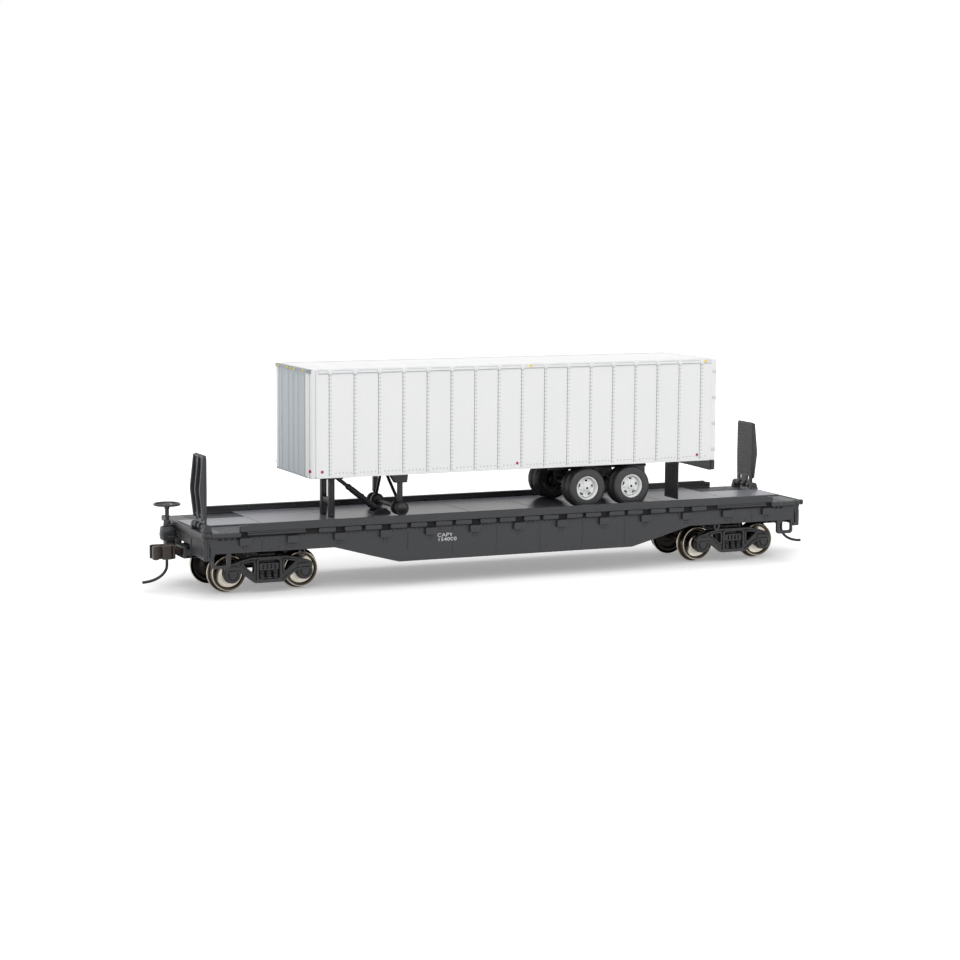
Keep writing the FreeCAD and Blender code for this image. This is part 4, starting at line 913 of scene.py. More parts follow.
@dataclass
class Deck:
    """The flatcar's floor: tread ends, smooth centre plate, edge blocks and guard rails."""

    bench: Bench
    edge_depth: float = 0.92
    tread_pitch: float = 0.95

    def build(self) -> None:
        """Build the deck's parts."""
        self.slab = self.bench.room("deck")
        self.pockets = pocket_places()
        self.floor()
        self.edge_blocks()
        self.treads()
        self.centre_plate()
        self.guard_rails()

    def floor(self) -> None:
        """Build the slab, set in from the edge blocks, with the end bars and their corner knobs."""
        slab = Shape()
        x, y, z = self.slab.x, self.slab.y, self.slab.z
        inset = y[1] - self.edge_depth
        slab.add(block((x[0] + 0.2, x[1] - 0.2), (-inset, inset), z, 0.05))
        for side in BOTH:
            end = side * x[1]
            slab.add(block((end, end - side * 0.9), (y[0], y[1]), (z[0] + 0.05, z[1] + 0.12), 0.12))
            for hand in BOTH:
                slab.add(bar(Axis.Z, (z[0] - 0.1, z[1] + 0.25), (end - side * 0.5, hand * (y[1] - 0.5)),
                             0.46, 16))
                slab.add(block((end - side * 0.9, end - side * 2.4),
                               (hand * (y[1] - 1.2), hand * (y[1] - 0.02)), (z[0] + 0.1, z[1] + 0.08), 0.1))
        self.bench.put("deck_slab", slab, CAR_PAINT, "deck")

    def edge_blocks(self) -> None:
        """Build the row of round-ended blocks along both edges, parted at and between the pockets."""
        row = Shape()
        y, z = self.slab.y[1], self.slab.z
        strip_end = 61.6
        breaks = sorted([(place, 1.25) for place in self.pockets]
                        + [((a + b) / 2, 0.5) for a, b in zip(self.pockets, self.pockets[1:])])
        edges = [(-88.6, 0.0), *breaks, (88.6, 0.0)]
        for (start, before), (end, after) in zip(edges, edges[1:]):
            low, high = start + before, end - after
            if strip_end < abs(low + high) / 2 < 80:
                continue
            outline = rounded(rectangle((low, high), (z[0] - 0.22, z[1] - 0.04)), 0.5, 3)
            row.both(extruded(Axis.Y, outline, y - self.edge_depth - 0.1, y - 0.02, 0.16))
        for side in BOTH:
            low, high = sorted((side * (strip_end + 0.9), side * 78.6))
            outline = rounded(rectangle((low, high), (z[0] + 0.1, z[0] + 0.62)), 0.22, 3)
            row.both(extruded(Axis.Y, outline, y - self.edge_depth - 0.1, y - 0.06, 0.12))
            row.both(block((low, high), (y - self.edge_depth - 0.1, y - 0.3), (z[0] + 0.6, z[1]), 0.05))
        self.bench.put("deck_edge_blocks", row, CAR_PAINT, "deck")
        # A black strip behind the edge blocks paints the shadow in the recess under the deck's edge.
        shadow_strip = Shape()
        inset = y - self.edge_depth
        shadow_strip.both(block((-88.4, 88.4), (inset - 0.05, inset + 0.03), (z[0] - 0.5, z[1] - 0.06)))
        self.bench.put("deck_edge_painted_shadow", shadow_strip, RECESS_PAINTED_SHADOW, "deck")

    def treads(self) -> None:
        """Raise the lozenge tread on the four plates at the deck's ends."""
        stud = extruded(Axis.Z, [(-0.34, 0), (0, -0.12), (0.34, 0), (0, 0.12)], -0.02, 0.07, 0.04)
        marks = Shape()
        top = self.slab.z[1]
        outer = self.slab.y[1] - self.edge_depth - 0.5
        rows = spread(7.3, outer, int((outer - 7.3) / self.tread_pitch) + 1)
        columns = spread(72.4, 89.2, int(16.8 / self.tread_pitch) + 1)
        for row, y in enumerate(rows):
            for column, x in enumerate(columns):
                if 85.5 < x and 6.0 < y < 17.6:
                    continue
                turn = math.radians(45 if (row + column) % 2 else -45)
                place = Matrix.Translation((x, y, top)) @ Matrix.Rotation(turn, 4, "Z")
                marks.corners(stud.moved(place))
        self.bench.put("deck_treads", marks, CAR_PAINT, "deck")

    def centre_plate(self) -> None:
        """Build the smooth plate, laid in sheets with flush rivets round each."""
        room = self.bench.room("deck_centre_plate")
        sheets, heads = Shape(), Shape()
        low, high = room.z
        wide_end = self.slab.x[1] - 20.0
        narrow = 6.3
        seams = spread(-wide_end, wide_end, 8)
        for start, end in zip(seams, seams[1:]):
            sheets.add(block((start + 0.06, end - 0.06), room.y, (low, high), 0.1))
        for side in BOTH:
            sheets.add(block((side * (wide_end + 0.06), side * (room.x[1] - 0.95)), (-narrow, narrow),
                             (low, high), 0.1))
        sheets.add(block((-wide_end, wide_end), (room.y[0] + 0.2, room.y[1] - 0.2), (low, high - 0.16),
                         0.02))
        head = rivet(0.13, 0.05)
        for start, end in zip(seams, seams[1:]):
            for y in (room.y[0] + 0.7, room.y[1] - 0.7):
                heads.repeat(head, [(x, y, high) for x in spread(start + 1.0, end - 1.0, 14)])
            for x in (start + 0.55, end - 0.55):
                heads.repeat(head, [(x, y, high) for y in spread(room.y[0] + 1.6, room.y[1] - 1.6, 22)])
        # The sheets and their rivets take the paler grey of painted sheen.
        self.bench.put("centre_plate_sheets", sheets, DECK_SHEEN_PAINT, "deck_centre_plate")
        self.bench.put("centre_plate_rivets", heads, DECK_SHEEN_PAINT, "deck_centre_plate")

    def guard_rails(self) -> None:
        """Build the rail along each edge with its stepped ends, foot strip and inner stiffeners."""
        room = self.bench.room("guard_rails")
        rails = Shape()
        inner, outer = room.y[1] - 1.0, room.y[1]
        low, high = room.z
        reach = room.x[1]
        outline = [(-reach, low), (reach, low), (reach, high - 0.55), (reach - 0.5, high - 0.5),
                   (reach - 1.6, high - 0.5), (reach - 2.1, high), (2.1 - reach, high),
                   (1.6 - reach, high - 0.5), (0.5 - reach, high - 0.5), (-reach, high - 0.55)]
        rails.both(extruded(Axis.Y, rounded(outline, 0.3), inner + 0.12, outer - 0.02, 0.14))
        rails.both(block((-reach + 2.4, reach - 2.4), (inner, inner + 0.4), (high - 0.5, high - 0.06), 0.08))
        rails.both(block((-reach + 0.4, reach - 0.4), (inner - 0.1, inner + 0.4), (low, low + 0.42), 0.08))
        for place in self.pockets:
            rails.both(block((place - 0.35, place + 0.35), (inner, inner + 0.3), (low + 0.3, high - 0.3),
                             0.06))
        self.bench.put("guard_rail_pair", rails, CAR_PAINT, "guard_rails")


@dataclass
class SideSills:
    """The fish-belly side sills with their stake pockets, rivets and weight lettering."""

    bench: Bench
    wall: float = 0.34
    letter_height: float = 1.35
    letter_stretch: float = 1.35

    def build(self) -> None:
        """Build both sills."""
        self.pockets = pocket_places()
        for side, word in ((-1, "left"), (1, "right")):
            self.web(side, word)
            self.rivets(side, word)
            self.lettering(side, word)
        self.pocket_castings()

    def profile(self, room: Room) -> Outline:
        """Return the sill's outline, deepest at mid car and deeper again at its corners."""
        low, high = room.z
        reach = room.x[1]
        half = [(reach, high), (reach, high - 6.3), (reach - 1.07, high - 6.3), (reach - 1.6, high - 4.55),
                (54.0, high - 4.55), (43.0, high - 7.55), (35.5, low)]
        return half + [(-x, z) for x, z in reversed(half)]

    def web(self, side: int, word: str) -> None:
        """Build one sill: its web, the slots near its ends, its foot flange and its corner casting.

        Args:
            side: -1 for the near side, 1 for the far side.
            word: its name.
        """
        node = f"side_sill_{word}"
        room = self.bench.room(node)
        inner, outer = sorted((abs(room.y[0]), abs(room.y[1])))
        outline = self.profile(room)
        top = room.z[1]
        slots = []
        for x in (-86.0, -84.4, -82.8, -81.2, 80.9, 82.4, 83.9):
            slots.append(rounded(rectangle((x - 0.5, x + 0.5), (top - 0.95, top - 0.45)), 0.2, 2))
        for x in (-88.75, 88.75):
            slots.append(rounded(rectangle((x - 0.22, x + 0.22), (top - 5.3, top - 2.6)), 0.15, 2))
        web = Shape()
        low_y, high_y = sorted((side * (outer - 0.5), side * outer))
        web.add(extruded(Axis.Y, rounded(outline, 0.25), low_y, high_y, 0.1, slots))
        low_y, high_y = sorted((side * inner, side * (outer - 0.45)))
        web.add(extruded(Axis.Y, shrunk(turning(outline, True), 0.02), low_y, high_y))
        web.add(block((-room.x[1] + 1.8, room.x[1] - 1.8), (side * (outer - 0.3), side * (outer + 0.1)),
                      (top - 0.28, top - 0.04), 0.06))
        self.bench.put(f"{word}_sill_web", web, CAR_PAINT, node)
        fitting = Shape()
        for end in BOTH:
            x = end * (room.x[1] - 0.55)
            fitting.add(block((x - 0.5, x + 0.5), (side * outer, side * (outer + 0.16)),
                              (top - 5.9, top - 5.4), 0.06))
            for z in (top - 1.5, top - 2.2, top - 5.65):
                place = Matrix.Translation((x - end * 0.05, side * (outer + 0.02), z)) @ facing((0, side, 0))
                fitting.add(extruded(Axis.Z, circle((0, 0), 0.24, 6), 0, 0.26, 0.05).moved(place))
        self.bench.put(f"{word}_sill_corner_nuts", fitting, CAR_PAINT, node)

    def rivets(self, side: int, word: str) -> None:
        """Set the rivet row under the deck's edge, the pairs below each pocket and those at the bolsters."""
        node = f"side_sill_{word}"
        room = self.bench.room(node)
        face = max(abs(room.y[0]), abs(room.y[1]))
        top = room.z[1]
        head = rivet(0.21, 0.16).moved(facing((0, side, 0)))
        rows = Shape()
        rows.repeat(head, [(x, side * face, top - 0.78) for x in spread(-78.9, 78.9, 126)])
        for place in self.pockets:
            spots = [(place + dx, side * face, top - dz) for dx in (-0.45, 0.45) for dz in (2.95, 3.7)]
            rows.repeat(head, spots)
        for end in BOTH:
            for dx in (-3.4, -1.1, 1.1, 3.4):
                spots = [(end * TRUCK_CENTRE + dx, side * face, z) for z in spread(top - 1.5, top - 4.2, 5)]
                rows.repeat(head, spots if abs(dx) > 2 else spots[3:])
        for place in self.pockets[3:10]:
            depth = 8.4 if abs(place) < 34 else 6.0
            middle = place + POCKET_PITCH / 2
            if abs(middle) < 36:
                rows.repeat(head, [(middle, side * face, z) for z in spread(top - 1.6, top - depth, 9)])
        self.bench.put(f"{word}_sill_rivets", rows, CAR_PAINT, node)

    def lettering(self, side: int, word: str) -> None:
        """Print the capacity in pounds as two lines of white figures."""
        node = f"side_sill_{word}"
        room = self.bench.room(node)
        face = max(abs(room.y[0]), abs(room.y[1]))
        for line, (text, x, z) in enumerate((("CAPY", -24.4, 13.15), ("154000", -24.3, 11.95))):
            curve = bpy.data.curves.new(f"{word}_capacity_{line}", "FONT")
            curve.body = text
            curve.size = self.letter_height * MM
            curve.extrude = 0.01 * MM
            curve.offset = 0.005 * MM
            curve.space_character = 1.05
            word_item = bpy.data.objects.new(f"{word}_capacity_{line}", curve)
            bpy.context.scene.collection.objects.link(word_item)
            spin = Matrix.Rotation(math.pi if side > 0 else 0, 4, "Z") @ Matrix.Rotation(math.pi / 2, 4, "X")
            word_item.matrix_world = Matrix.Translation(Vector((-side * x, side * (face + 0.012),
                                                                z)) * MM) @ spin
            word_item.matrix_world @= Matrix.Diagonal((self.letter_stretch, 1.0, 1.0, 1.0))
            bpy.context.view_layer.update()
            mesh = bpy.data.meshes.new_from_object(word_item)
            mesh.transform(word_item.matrix_world)
            mesh.materials.clear()
            mesh.materials.append(PRINT_WHITE.material())
            bpy.data.objects.remove(word_item)
            item = bpy.data.objects.new(f"{word}_capacity_line_{line}", mesh)
            bpy.context.scene.collection.objects.link(item)
            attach(item, "car")
            LOG.info("%s: printed", item.name)

    def pocket_castings(self) -> None:
        """Build the open stake pockets: a strap round three sides of each hole, with bolts."""
        room = self.bench.room("stake_pockets")
        sill = self.bench.room("side_sill_right").y[1]
        outer = room.y[1]
        low, high = room.z[0], room.z[1] + 0.4
        casting = Shape()
        half = 1.65
        wall = self.wall
        outline = [(-half, sill - 0.1), (half, sill - 0.1), (half, outer), (-half, outer)]
        hole = [(-half + wall, sill - 0.02), (half - wall, sill - 0.02), (half - wall, outer - wall),
                (-half + wall, outer - wall)]
        strap = extruded(Axis.Z, rounded(outline, 0.14, 2), low, high, 0.1, [rounded(hole, 0.06, 1)])
        plate = block((-half + 0.1, half - 0.1), (outer - wall, outer - 0.01), (low + 0.2, high - 0.2), 0.08)
        for place in self.pockets:
            for solid in (strap, plate):
                casting.both(solid.moved(Matrix.Translation((place, 0, 0))))
        self.bench.put("stake_pocket_straps", casting, CAR_PAINT, "stake_pockets")


@dataclass
class Ends:
    """The end sills, their corner steps and the hand brake."""

    bench: Bench
    plate_back: float = 89.4
    plate_face: float = 90.12
    strip_face: float = 90.3
    angle_face: float = 90.38

    def build(self) -> None:
        """Build both ends."""
        for side, word in ((-1, "a"), (1, "b")):
            self.end_sill(side, word)
        self.steps()
        self.brake()

    def end_sill(self, side: int, word: str) -> None:
        """Build one end sill with its top angle, rivets, push-pole sockets and coupler opening.

        Args:
            side: -1 for end a, 1 for end b.
            word: its name.
        """
        node = f"end_sill_{word}"
        room = self.bench.room(node)
        low_x, high_x = sorted((side * self.plate_back, side * self.plate_face))
        half = room.y[1]
        top, low = room.z[1], room.z[0]
        outline = [(half, top), (half, low), (5.0, low + 0.6), (5.0, top - 3.6)]
        outline += [(-y, z) for y, z in reversed(outline)]
        plate = Shape()
        plate.add(extruded(Axis.X, rounded(outline, 0.2), low_x, high_x, 0.1))
        face, strip, out = side * self.plate_face, side * self.strip_face, side * self.angle_face
        plate.add(block((face - side * 0.1, out), (-half + 0.1, half - 0.1), (top - 0.75, top - 0.05), 0.1))
        plate.add(block((face - side * 0.1, strip), (-half + 0.2, half - 0.2), (top - 1.75, top - 1.2), 0.1))
        for hand in BOTH:
            plate.add(block((face - side * 0.1, strip + side * 0.04), (hand * 5.1, hand * 6.0),
                            (low + 0.75, top - 1.7), 0.1))
            socket = [(face - side * 0.1, 1.15), (out, 1.05), (out, 0.75), (face + side * 0.02, 0.6),
                      (face - side * 0.1, 0.55)]
            plate.add(turned(Axis.X, socket, (hand * 14.6, low + 1.9), 24, True))
            plate.add(block((face - side * 0.1, strip), (hand * (half - 0.75), hand * (half - 0.1)),
                            (low + 0.2, top - 1.8), 0.1))
        head = rivet(0.16, 0.1).moved(facing((side, 0, 0)))
        spots = [(strip - side * 0.02, y, top - 1.47) for y in spread(-half + 0.8, half - 0.8, 30)]
        spots += [(face, hand * y, z) for hand in BOTH for y in (7.2, 12.6, 16.2)
                  for z in (low + 0.9, low + 1.9)]
        plate.repeat(head, spots)
        self.bench.put(f"end_sill_plate_{word}", plate, CAR_PAINT, node)

    def steps(self) -> None:
        """Build a bent-strap stirrup step under each corner, with its bolted feet."""
        room = self.bench.room("corner_steps")
        outer = room.y[1]
        low, high = room.z
        near, far = room.x[1] - 4.6, room.x[1] + 0.8
        steps = Shape()
        inner = [(near + 1.15, high + 0.1), (near + 1.15, low + 1.0), (near + 1.3, low + 0.85),
                 (far - 1.05, low + 0.85), (far - 0.75, low + 1.05), (far - 0.75, high + 0.1)]
        band = [(near + 0.05, high + 0.1), (near + 0.05, low + 0.55), (near + 0.6, low), (far - 0.6, low),
                (far - 0.05, low + 0.55), (far - 0.05, high + 0.1), *reversed(inner)]
        strap = extruded(Axis.Y, rounded(band, 0.3, 2), outer - 1.0, outer - 0.12, 0.1)
        steps.corners(strap)
        steps.corners(block((near - 0.05, near + 1.25), (outer - 1.15, outer - 0.02),
                            (high - 1.0, high + 0.05), 0.12))
        steps.corners(block((far - 0.9, far + 0.05), (outer - 1.1, outer - 0.05), (high - 0.7, high + 0.05),
                            0.1))
        steps.corners(block((near + 0.8, far - 0.8), (outer - 1.15, outer - 0.02), (low, low + 0.34), 0.1))
        self.bench.put("stirrup_steps", steps, CAR_PAINT, "corner_steps")

    def brake(self) -> None:
        """Build the brake housing on the end sill, its staff and the spoked wheel."""
        stand = self.bench.room("brake_stand")
        wheel = self.bench.room("brake_wheel")
        x = (wheel.x[0] + wheel.x[1]) / 2 + 0.7
        y = (wheel.y[0] + wheel.y[1]) / 2
        low, high = wheel.z[0] - 0.8, wheel.z[1] - 0.8
        case = Shape()
        case.add(extruded(Axis.X, rounded([(y - 1.8, 12.4), (y + 1.8, 12.4), (y + 1.8, 15.0),
                                           (y + 1.1, 16.3), (y - 1.1, 16.3), (y - 1.8, 15.0)], 0.7, 3),
                          stand.x[0] + 0.25, -90.5, 0.3))
        case.add(turned(Axis.X, [(stand.x[0] + 0.3, 1.2), (stand.x[0] + 0.05, 1.05), (stand.x[0], 0.7),
                                 (stand.x[0] + 0.1, 0.3), (stand.x[0] + 0.02, 0)], (y, 14.0), 28))
        case.add(block((x - 0.75, -90.45), (y - 1.25, y + 1.25), (9.95, 12.6), 0.25))
        case.add(block((x - 0.5, -90.45), (y - 2.4, y + 2.4), (13.0, 13.8), 0.15))
        case.add(block((x - 0.9, -90.0), (y - 1.0, y + 1.0), (16.2, 16.9), 0.2))
        head = rivet(0.2, 0.12).moved(facing((-1, 0, 0)))
        case.repeat(head, [(x - 0.48, y + dy, 13.4) for dy in (-2.05, 2.05)])
        case.repeat(head, [(x - 0.74, y + dy, z) for dy in (-0.8, 0.8) for z in (10.5, 11.8)])
        case.add(bar(Axis.Z, (15.8, low + 0.2), (x, y), 0.55, 18))
        case.add(bar(Axis.Z, (16.1, 18.0), (x, y), 0.95, 24, 0.2))
        case.add(bar(Axis.Z, (18.6, 19.1), (x, y), 0.7, 20, 0.12))
        case.add(bar(Axis.Z, (low - 0.8, low - 0.05), (x, y), 0.72, 20, 0.15))
        self.bench.put("brake_housing_and_staff", case, CAR_PAINT, "brake_stand")
        rim = Shape()
        middle = (low + high) / 2
        radius = (wheel.x[1] - wheel.x[0]) / 2 - 0.26
        ring = [(x + radius * math.cos(t), y + radius * math.sin(t), middle + 0.1)
                for t in spread(0, math.tau * 47 / 48, 48)]
        rim.add(rod(ring, 0.33, 10, True))
        rim.add(turned(Axis.Z, [(low, 0.0), (low, 0.75), (middle - 0.1, 0.85), (middle + 0.12, 0.8),
                                (high, 0.45), (high, 0.0)], (x, y), 24))
        for turn in (math.tau * index / 6 for index in range(6)):
            path = [(x + r * math.cos(turn), y + r * math.sin(turn), z) for r,
                    z in ((0.5, middle - 0.12), (1.3, middle - 0.16), (2.4, middle - 0.02),
                          (radius, middle + 0.1))]
            rim.add(rod(path, 0.22, 8))
        self.bench.put("brake_hand_wheel", rim, CAR_PAINT, "brake_wheel")


@dataclass
class BridgePlates:
    """The two ribbed bridge plates, standing on their hinges at opposite corners."""

    bench: Bench

    def build(self) -> None:
        """Build both plates and the lugs that hold them."""
        lugs = Shape()
        for side, word in ((-1, "a"), (1, "b")):
            self.plate(side, word, lugs)
        self.bench.put("bridge_hinge_lugs", lugs, CAR_PAINT, "bridge_hinges")

    def plate(self, side: int, word: str, lugs: Shape) -> None:
        """Build one plate with its ribs, knuckles and pin, and add its lugs.

        Args:
            side: -1 for end a, 1 for end b.
            word: its name.
            lugs: the shape that both plates' lugs go into.
        """
        node = f"bridge_plate_{word}"
        room = self.bench.room(node)
        axis_x, axis_z = side * 89.4, 18.95
        top = room.z[1]
        middle = side * 12.2
        outline = [(-4.1, axis_z + 0.9), (4.1, axis_z + 0.9), (4.42, axis_z + 8.5), (4.42, top - 0.9),
                   (4.05, top), (-4.05, top), (-4.42, top - 0.9), (-4.42, axis_z + 8.5)]
        outline = [(middle + y, z) for y, z in outline]
        slots = [rounded(rectangle((middle + y - 0.55, middle + y + 0.55), (axis_z + 1.5, axis_z + 2.6)),
                         0.3, 2) for y in (-2.2, 2.2)]
        body = Shape()
        low_x, high_x = sorted((axis_x - side * 0.3, axis_x + side * 0.35))
        body.add(extruded(Axis.X, rounded(outline, 0.3), low_x, high_x, 0.12, slots))
        face = axis_x + side * 0.3
        rib = [(0.0, axis_z + 2.0), (side * 0.5, axis_z + 2.2), (side * 1.35, axis_z + 9.4),
               (side * 1.32, axis_z + 10.4), (side * 0.4, top - 0.25), (0.0, top - 0.25)]
        for offset in (-4.0, 0.0, 4.0):
            low_y, high_y = middle + offset - 0.42, middle + offset + 0.42
            body.add(extruded(Axis.Y, rounded([(face + x, z) for x, z in rib], 0.15), low_y, high_y, 0.12))
        for z in (axis_z + 3.1, top - 0.5):
            body.add(block((face - side * 0.1, face + side * 0.28), (middle - 3.7, middle + 3.7),
                           (z - 0.3, z + 0.3), 0.1))
        back = axis_x - side * 0.3
        stud = extruded(Axis.Z, [(-0.5, 0), (0, -0.16), (0.5, 0), (0, 0.16)], -0.04, 0.07, 0.03)
        turn = facing((-side, 0, 0))
        for row, z in enumerate(spread(axis_z + 3.6, top - 1.1, 16)):
            for column, y in enumerate(spread(-3.6, 3.6, 8)):
                spin = Matrix.Rotation(math.radians(45 if (row + column) % 2 else -45), 4, "Z")
                body.add(stud.moved(Matrix.Translation((back, middle + y, z)) @ turn @ spin))
        for y in (-3.2, 0.0, 3.2):
            body.add(block((axis_x - 0.32, axis_x + 0.32), (middle + y - 0.85, middle + y + 0.85),
                           (axis_z, axis_z + 1.6), 0.12))
        self.bench.put(f"bridge_plate_sheet_{word}", body, CAR_PAINT, node)
        knuckles = Shape()
        for low_y, high_y in ((-4.15, -2.35), (-0.85, 0.85), (2.35, 4.15)):
            knuckles.add(bar(Axis.Y, (middle + low_y, middle + high_y), (axis_x, axis_z), 0.93, 28, 0.12))
        knuckles.add(bar(Axis.Y, (room.y[0] + 0.02, room.y[1] - 0.02), (axis_x, axis_z), 0.48, 20, 0.1))
        for end, way in ((room.y[0], 1), (room.y[1], -1)):
            knuckles.add(bar(Axis.Y, (end, end + way * 0.14), (axis_x, axis_z), 0.62, 12, 0.04))
        self.bench.put(f"bridge_plate_knuckles_{word}", knuckles, CAR_PAINT, node)
        deck_top = 17.6
        for low_y, high_y in ((6.35, 7.85), (16.55, 18.05)):
            profile = [(axis_x - 1.3, deck_top), (axis_x + 1.3, deck_top), (axis_x + 1.3, deck_top + 0.3)]
            profile += [(axis_x + 0.95 * math.cos(t), axis_z + 0.95 * math.sin(t))
                        for t in spread(0, math.pi, 9)]
            profile += [(axis_x - 1.3, deck_top + 0.3)]
            hole = circle((axis_x, axis_z), 0.57, 20)
            low_w, high_w = sorted((side * low_y, side * high_y))
            lugs.add(extruded(Axis.Y, profile, low_w + 0.02, high_w - 0.02, 0.1, [hole]))


def slanted(start: Sequence[float], end: Sequence[float], profile: Sequence[Pair], steps: int = 20) -> Solid:
    """Turn a profile about the line from one point to another.

    Args:
        start: the line's first point.
        end: its last point.
        profile: pairs of share of the line's length and radius, in order.
        steps: faces round the turn.

    Returns:
        The closed shape.
    """
    line = Vector(end) - Vector(start)
    drawn = [(share * line.length, radius) for share, radius in profile]
    return turned(Axis.Z, drawn, (0.0, 0.0), steps).moved(Matrix.Translation(start) @ facing(line))


@dataclass
class Underframe:
    """The beams under the deck, and the draft boxes that the couplers swing in."""

    bench: Bench

    def build(self) -> None:
        """Build the beams in order, from the middle outward."""
        self.centre_sill()
        self.cross_bearers()
        self.draft_sills()
        for side, word in ((-1, "a"), (1, "b")):
            self.body_bolster(side, word)
        self.draft_boxes()
        self.hanger_loops()

    def hanger_loops(self) -> None:
        """Hang a round wire loop under each side sill, inboard of each truck."""
        loops = Shape()
        for x in (-63.1, 63.1):
            ring = [(x + 0.72 * math.cos(t), 17.0, 11.35 + 1.0 * math.sin(t))
                    for t in spread(0, math.tau * 23 / 24, 24)]
            loops.both(rod(ring, 0.24, 8, True))
        self.bench.put("sill_hanger_loops", loops, CAR_PAINT, "cross_bearers")

    def centre_sill(self) -> None:
        """Build the fish-belly centre sill: web, foot flanges and stiffening ribs."""
        room = self.bench.room("centre_sill")
        low, high = room.z
        reach = room.x[1]
        shallow = high - 4.3
        half = [(reach, high), (reach, shallow), (54.0, shallow), (44.0, low + 1.0), (35.5, low)]
        outline = half + [(-x, z) for x, z in reversed(half)]
        beam = Shape()
        inner = room.y[1] - 0.35
        beam.add(extruded(Axis.Y, shrunk(turning(outline, True), 0.3), -inner, inner, 0.05))
        for start, end in zip(half[1:], half[2:]):
            foot = [start, end, (end[0], end[1] + 0.45), (start[0], start[1] + 0.45)]
            for way in BOTH:
                edge = [(way * x, z) for x, z in foot]
                beam.add(extruded(Axis.Y, edge, room.y[0], room.y[1], 0.08))
        beam.add(block((-35.5, 35.5), room.y, (low, low + 0.45), 0.08))
        beam.add(block((-reach, reach), room.y, (high - 0.45, high), 0.06))
        head = rivet(0.16, 0.09)
        beam.repeat(head.moved(facing((0, 0, -1))), [(x, y, low) for x in spread(-34.6, 34.6, 50)
                                                     for y in (-2.5, 2.5)])
        for x in spread(-33.7, 33.7, 7):
            beam.both(block((x - 0.2, x + 0.2), (inner - 0.05, room.y[1] - 0.03), (low + 0.4, high - 0.4),
                            0.05))
        self.bench.put("centre_sill_beam", beam, CAR_PAINT, "centre_sill")

    def cross_bearers(self) -> None:
        """Build the cross bearers as flanged webs with lightening holes."""
        room = self.bench.room("cross_bearers")
        inner = self.bench.room("centre_sill").y[1]
        low, high = room.z
        outer = room.y[1]
        webs = Shape()
        outline = [(inner, low), (outer, low + 0.9), (outer, high), (inner, high)]
        holes = [circle((y, (low + high) / 2 + 0.2), 0.85, 18)
                 for y in (inner + 2.6, inner + 6.4, inner + 10.2)]
        flange = [(inner, low), (outer, low + 0.9), (outer, low + 1.3), (inner, low + 0.4)]
        for x in spread(room.x[0] + 0.8, room.x[1] - 0.8, 5):
            webs.both(extruded(Axis.X, outline, x - 0.25, x + 0.25, 0.05, holes))
            webs.both(extruded(Axis.X, flange, x - 0.78, x + 0.78, 0.06))
            webs.both(block((x - 0.78, x + 0.78), (inner, outer), (high - 0.4, high), 0.05))
        self.bench.put("cross_bearer_webs", webs, CAR_PAINT, "cross_bearers")

    def draft_sills(self) -> None:
        """Build the draft sills as two channels with a cover plate between them."""
        room = self.bench.room("draft_sills")
        low, high = room.z
        inner, outer = 74.45, max(abs(room.x[0]), abs(room.x[1]))
        sills = Shape()
        for side in BOTH:
            along = (side * inner, side * outer)
            sills.both(block(along, (room.y[1] - 0.7, room.y[1] - 0.25), (low, high), 0.06))
            for z in ((low, low + 0.5), (high - 0.5, high)):
                sills.both(block(along, (room.y[1] - 1.3, room.y[1]), z, 0.08))
            sills.add(block(along, (-room.y[1] + 0.6, room.y[1] - 0.6), (low + 0.25, high - 0.3), 0.05))
            for x in spread(inner + 1.2, outer - 1.2, 4):
                sills.both(block((side * x - 0.2, side * x + 0.2), (room.y[1] - 0.3, room.y[1] - 0.04),
                                 (low + 0.45, high - 0.45), 0.05))
        self.bench.put("draft_sill_channels", sills, CAR_PAINT, "draft_sills")

    def body_bolster(self, side: int, word: str) -> None:
        """Build one body bolster: two webs, a tapered foot plate, its bowl and the king pin.

        Args:
            side: -1 for end a, 1 for end b.
            word: its name.
        """
        node = f"body_bolster_{word}"
        room = self.bench.room(node)
        x = side * TRUCK_CENTRE
        half = (room.x[1] - room.x[0]) / 2
        low, high = 11.9, room.z[1]
        outer = room.y[1]
        beam = Shape()
        web = [(-outer, high), (-outer, high - 2.6), (-5.2, low), (5.2, low), (outer, high - 2.6),
               (outer, high)]
        for dx in (-half + 0.55, half - 0.55):
            beam.add(extruded(Axis.X, web, x + dx - 0.3, x + dx + 0.3, 0.06))
        foot = [(-outer, high - 2.6), (-5.2, low), (5.2, low), (outer, high - 2.6), (outer, high - 2.15),
                (5.3, low + 0.45), (-5.3, low + 0.45), (-outer, high - 2.15)]
        beam.add(extruded(Axis.X, foot, x - half, x + half, 0.08))
        beam.add(block((x - half, x + half), (-outer, outer), (high - 0.45, high), 0.06))
        for y in (-12.0, -8.4, 8.4, 12.0):
            beam.add(block((x - half + 0.4, x + half - 0.4), (y - 0.25, y + 0.25), (high - 3.0, high - 0.3),
                           0.05))
        beam.add(turned(Axis.Z, [(11.0, 2.9), (11.1, 3.25), (11.3, 3.4), (12.3, 3.4)], (x, 0), 40))
        pin = [(7.8, 0.9), (7.8, 1.7), (8.0, 2.0), (8.3, 2.0), (8.4, 1.85), (8.4, 1.2), (11.4, 1.2)]
        beam.add(turned(Axis.Z, pin, (x, 0), 32))
        beam.add(block((x - 1.5, x + 1.5), (-0.16, 0.16), (7.76, 7.95), 0.03))
        self.bench.put(f"body_bolster_beam_{word}", beam, CAR_PAINT, node)

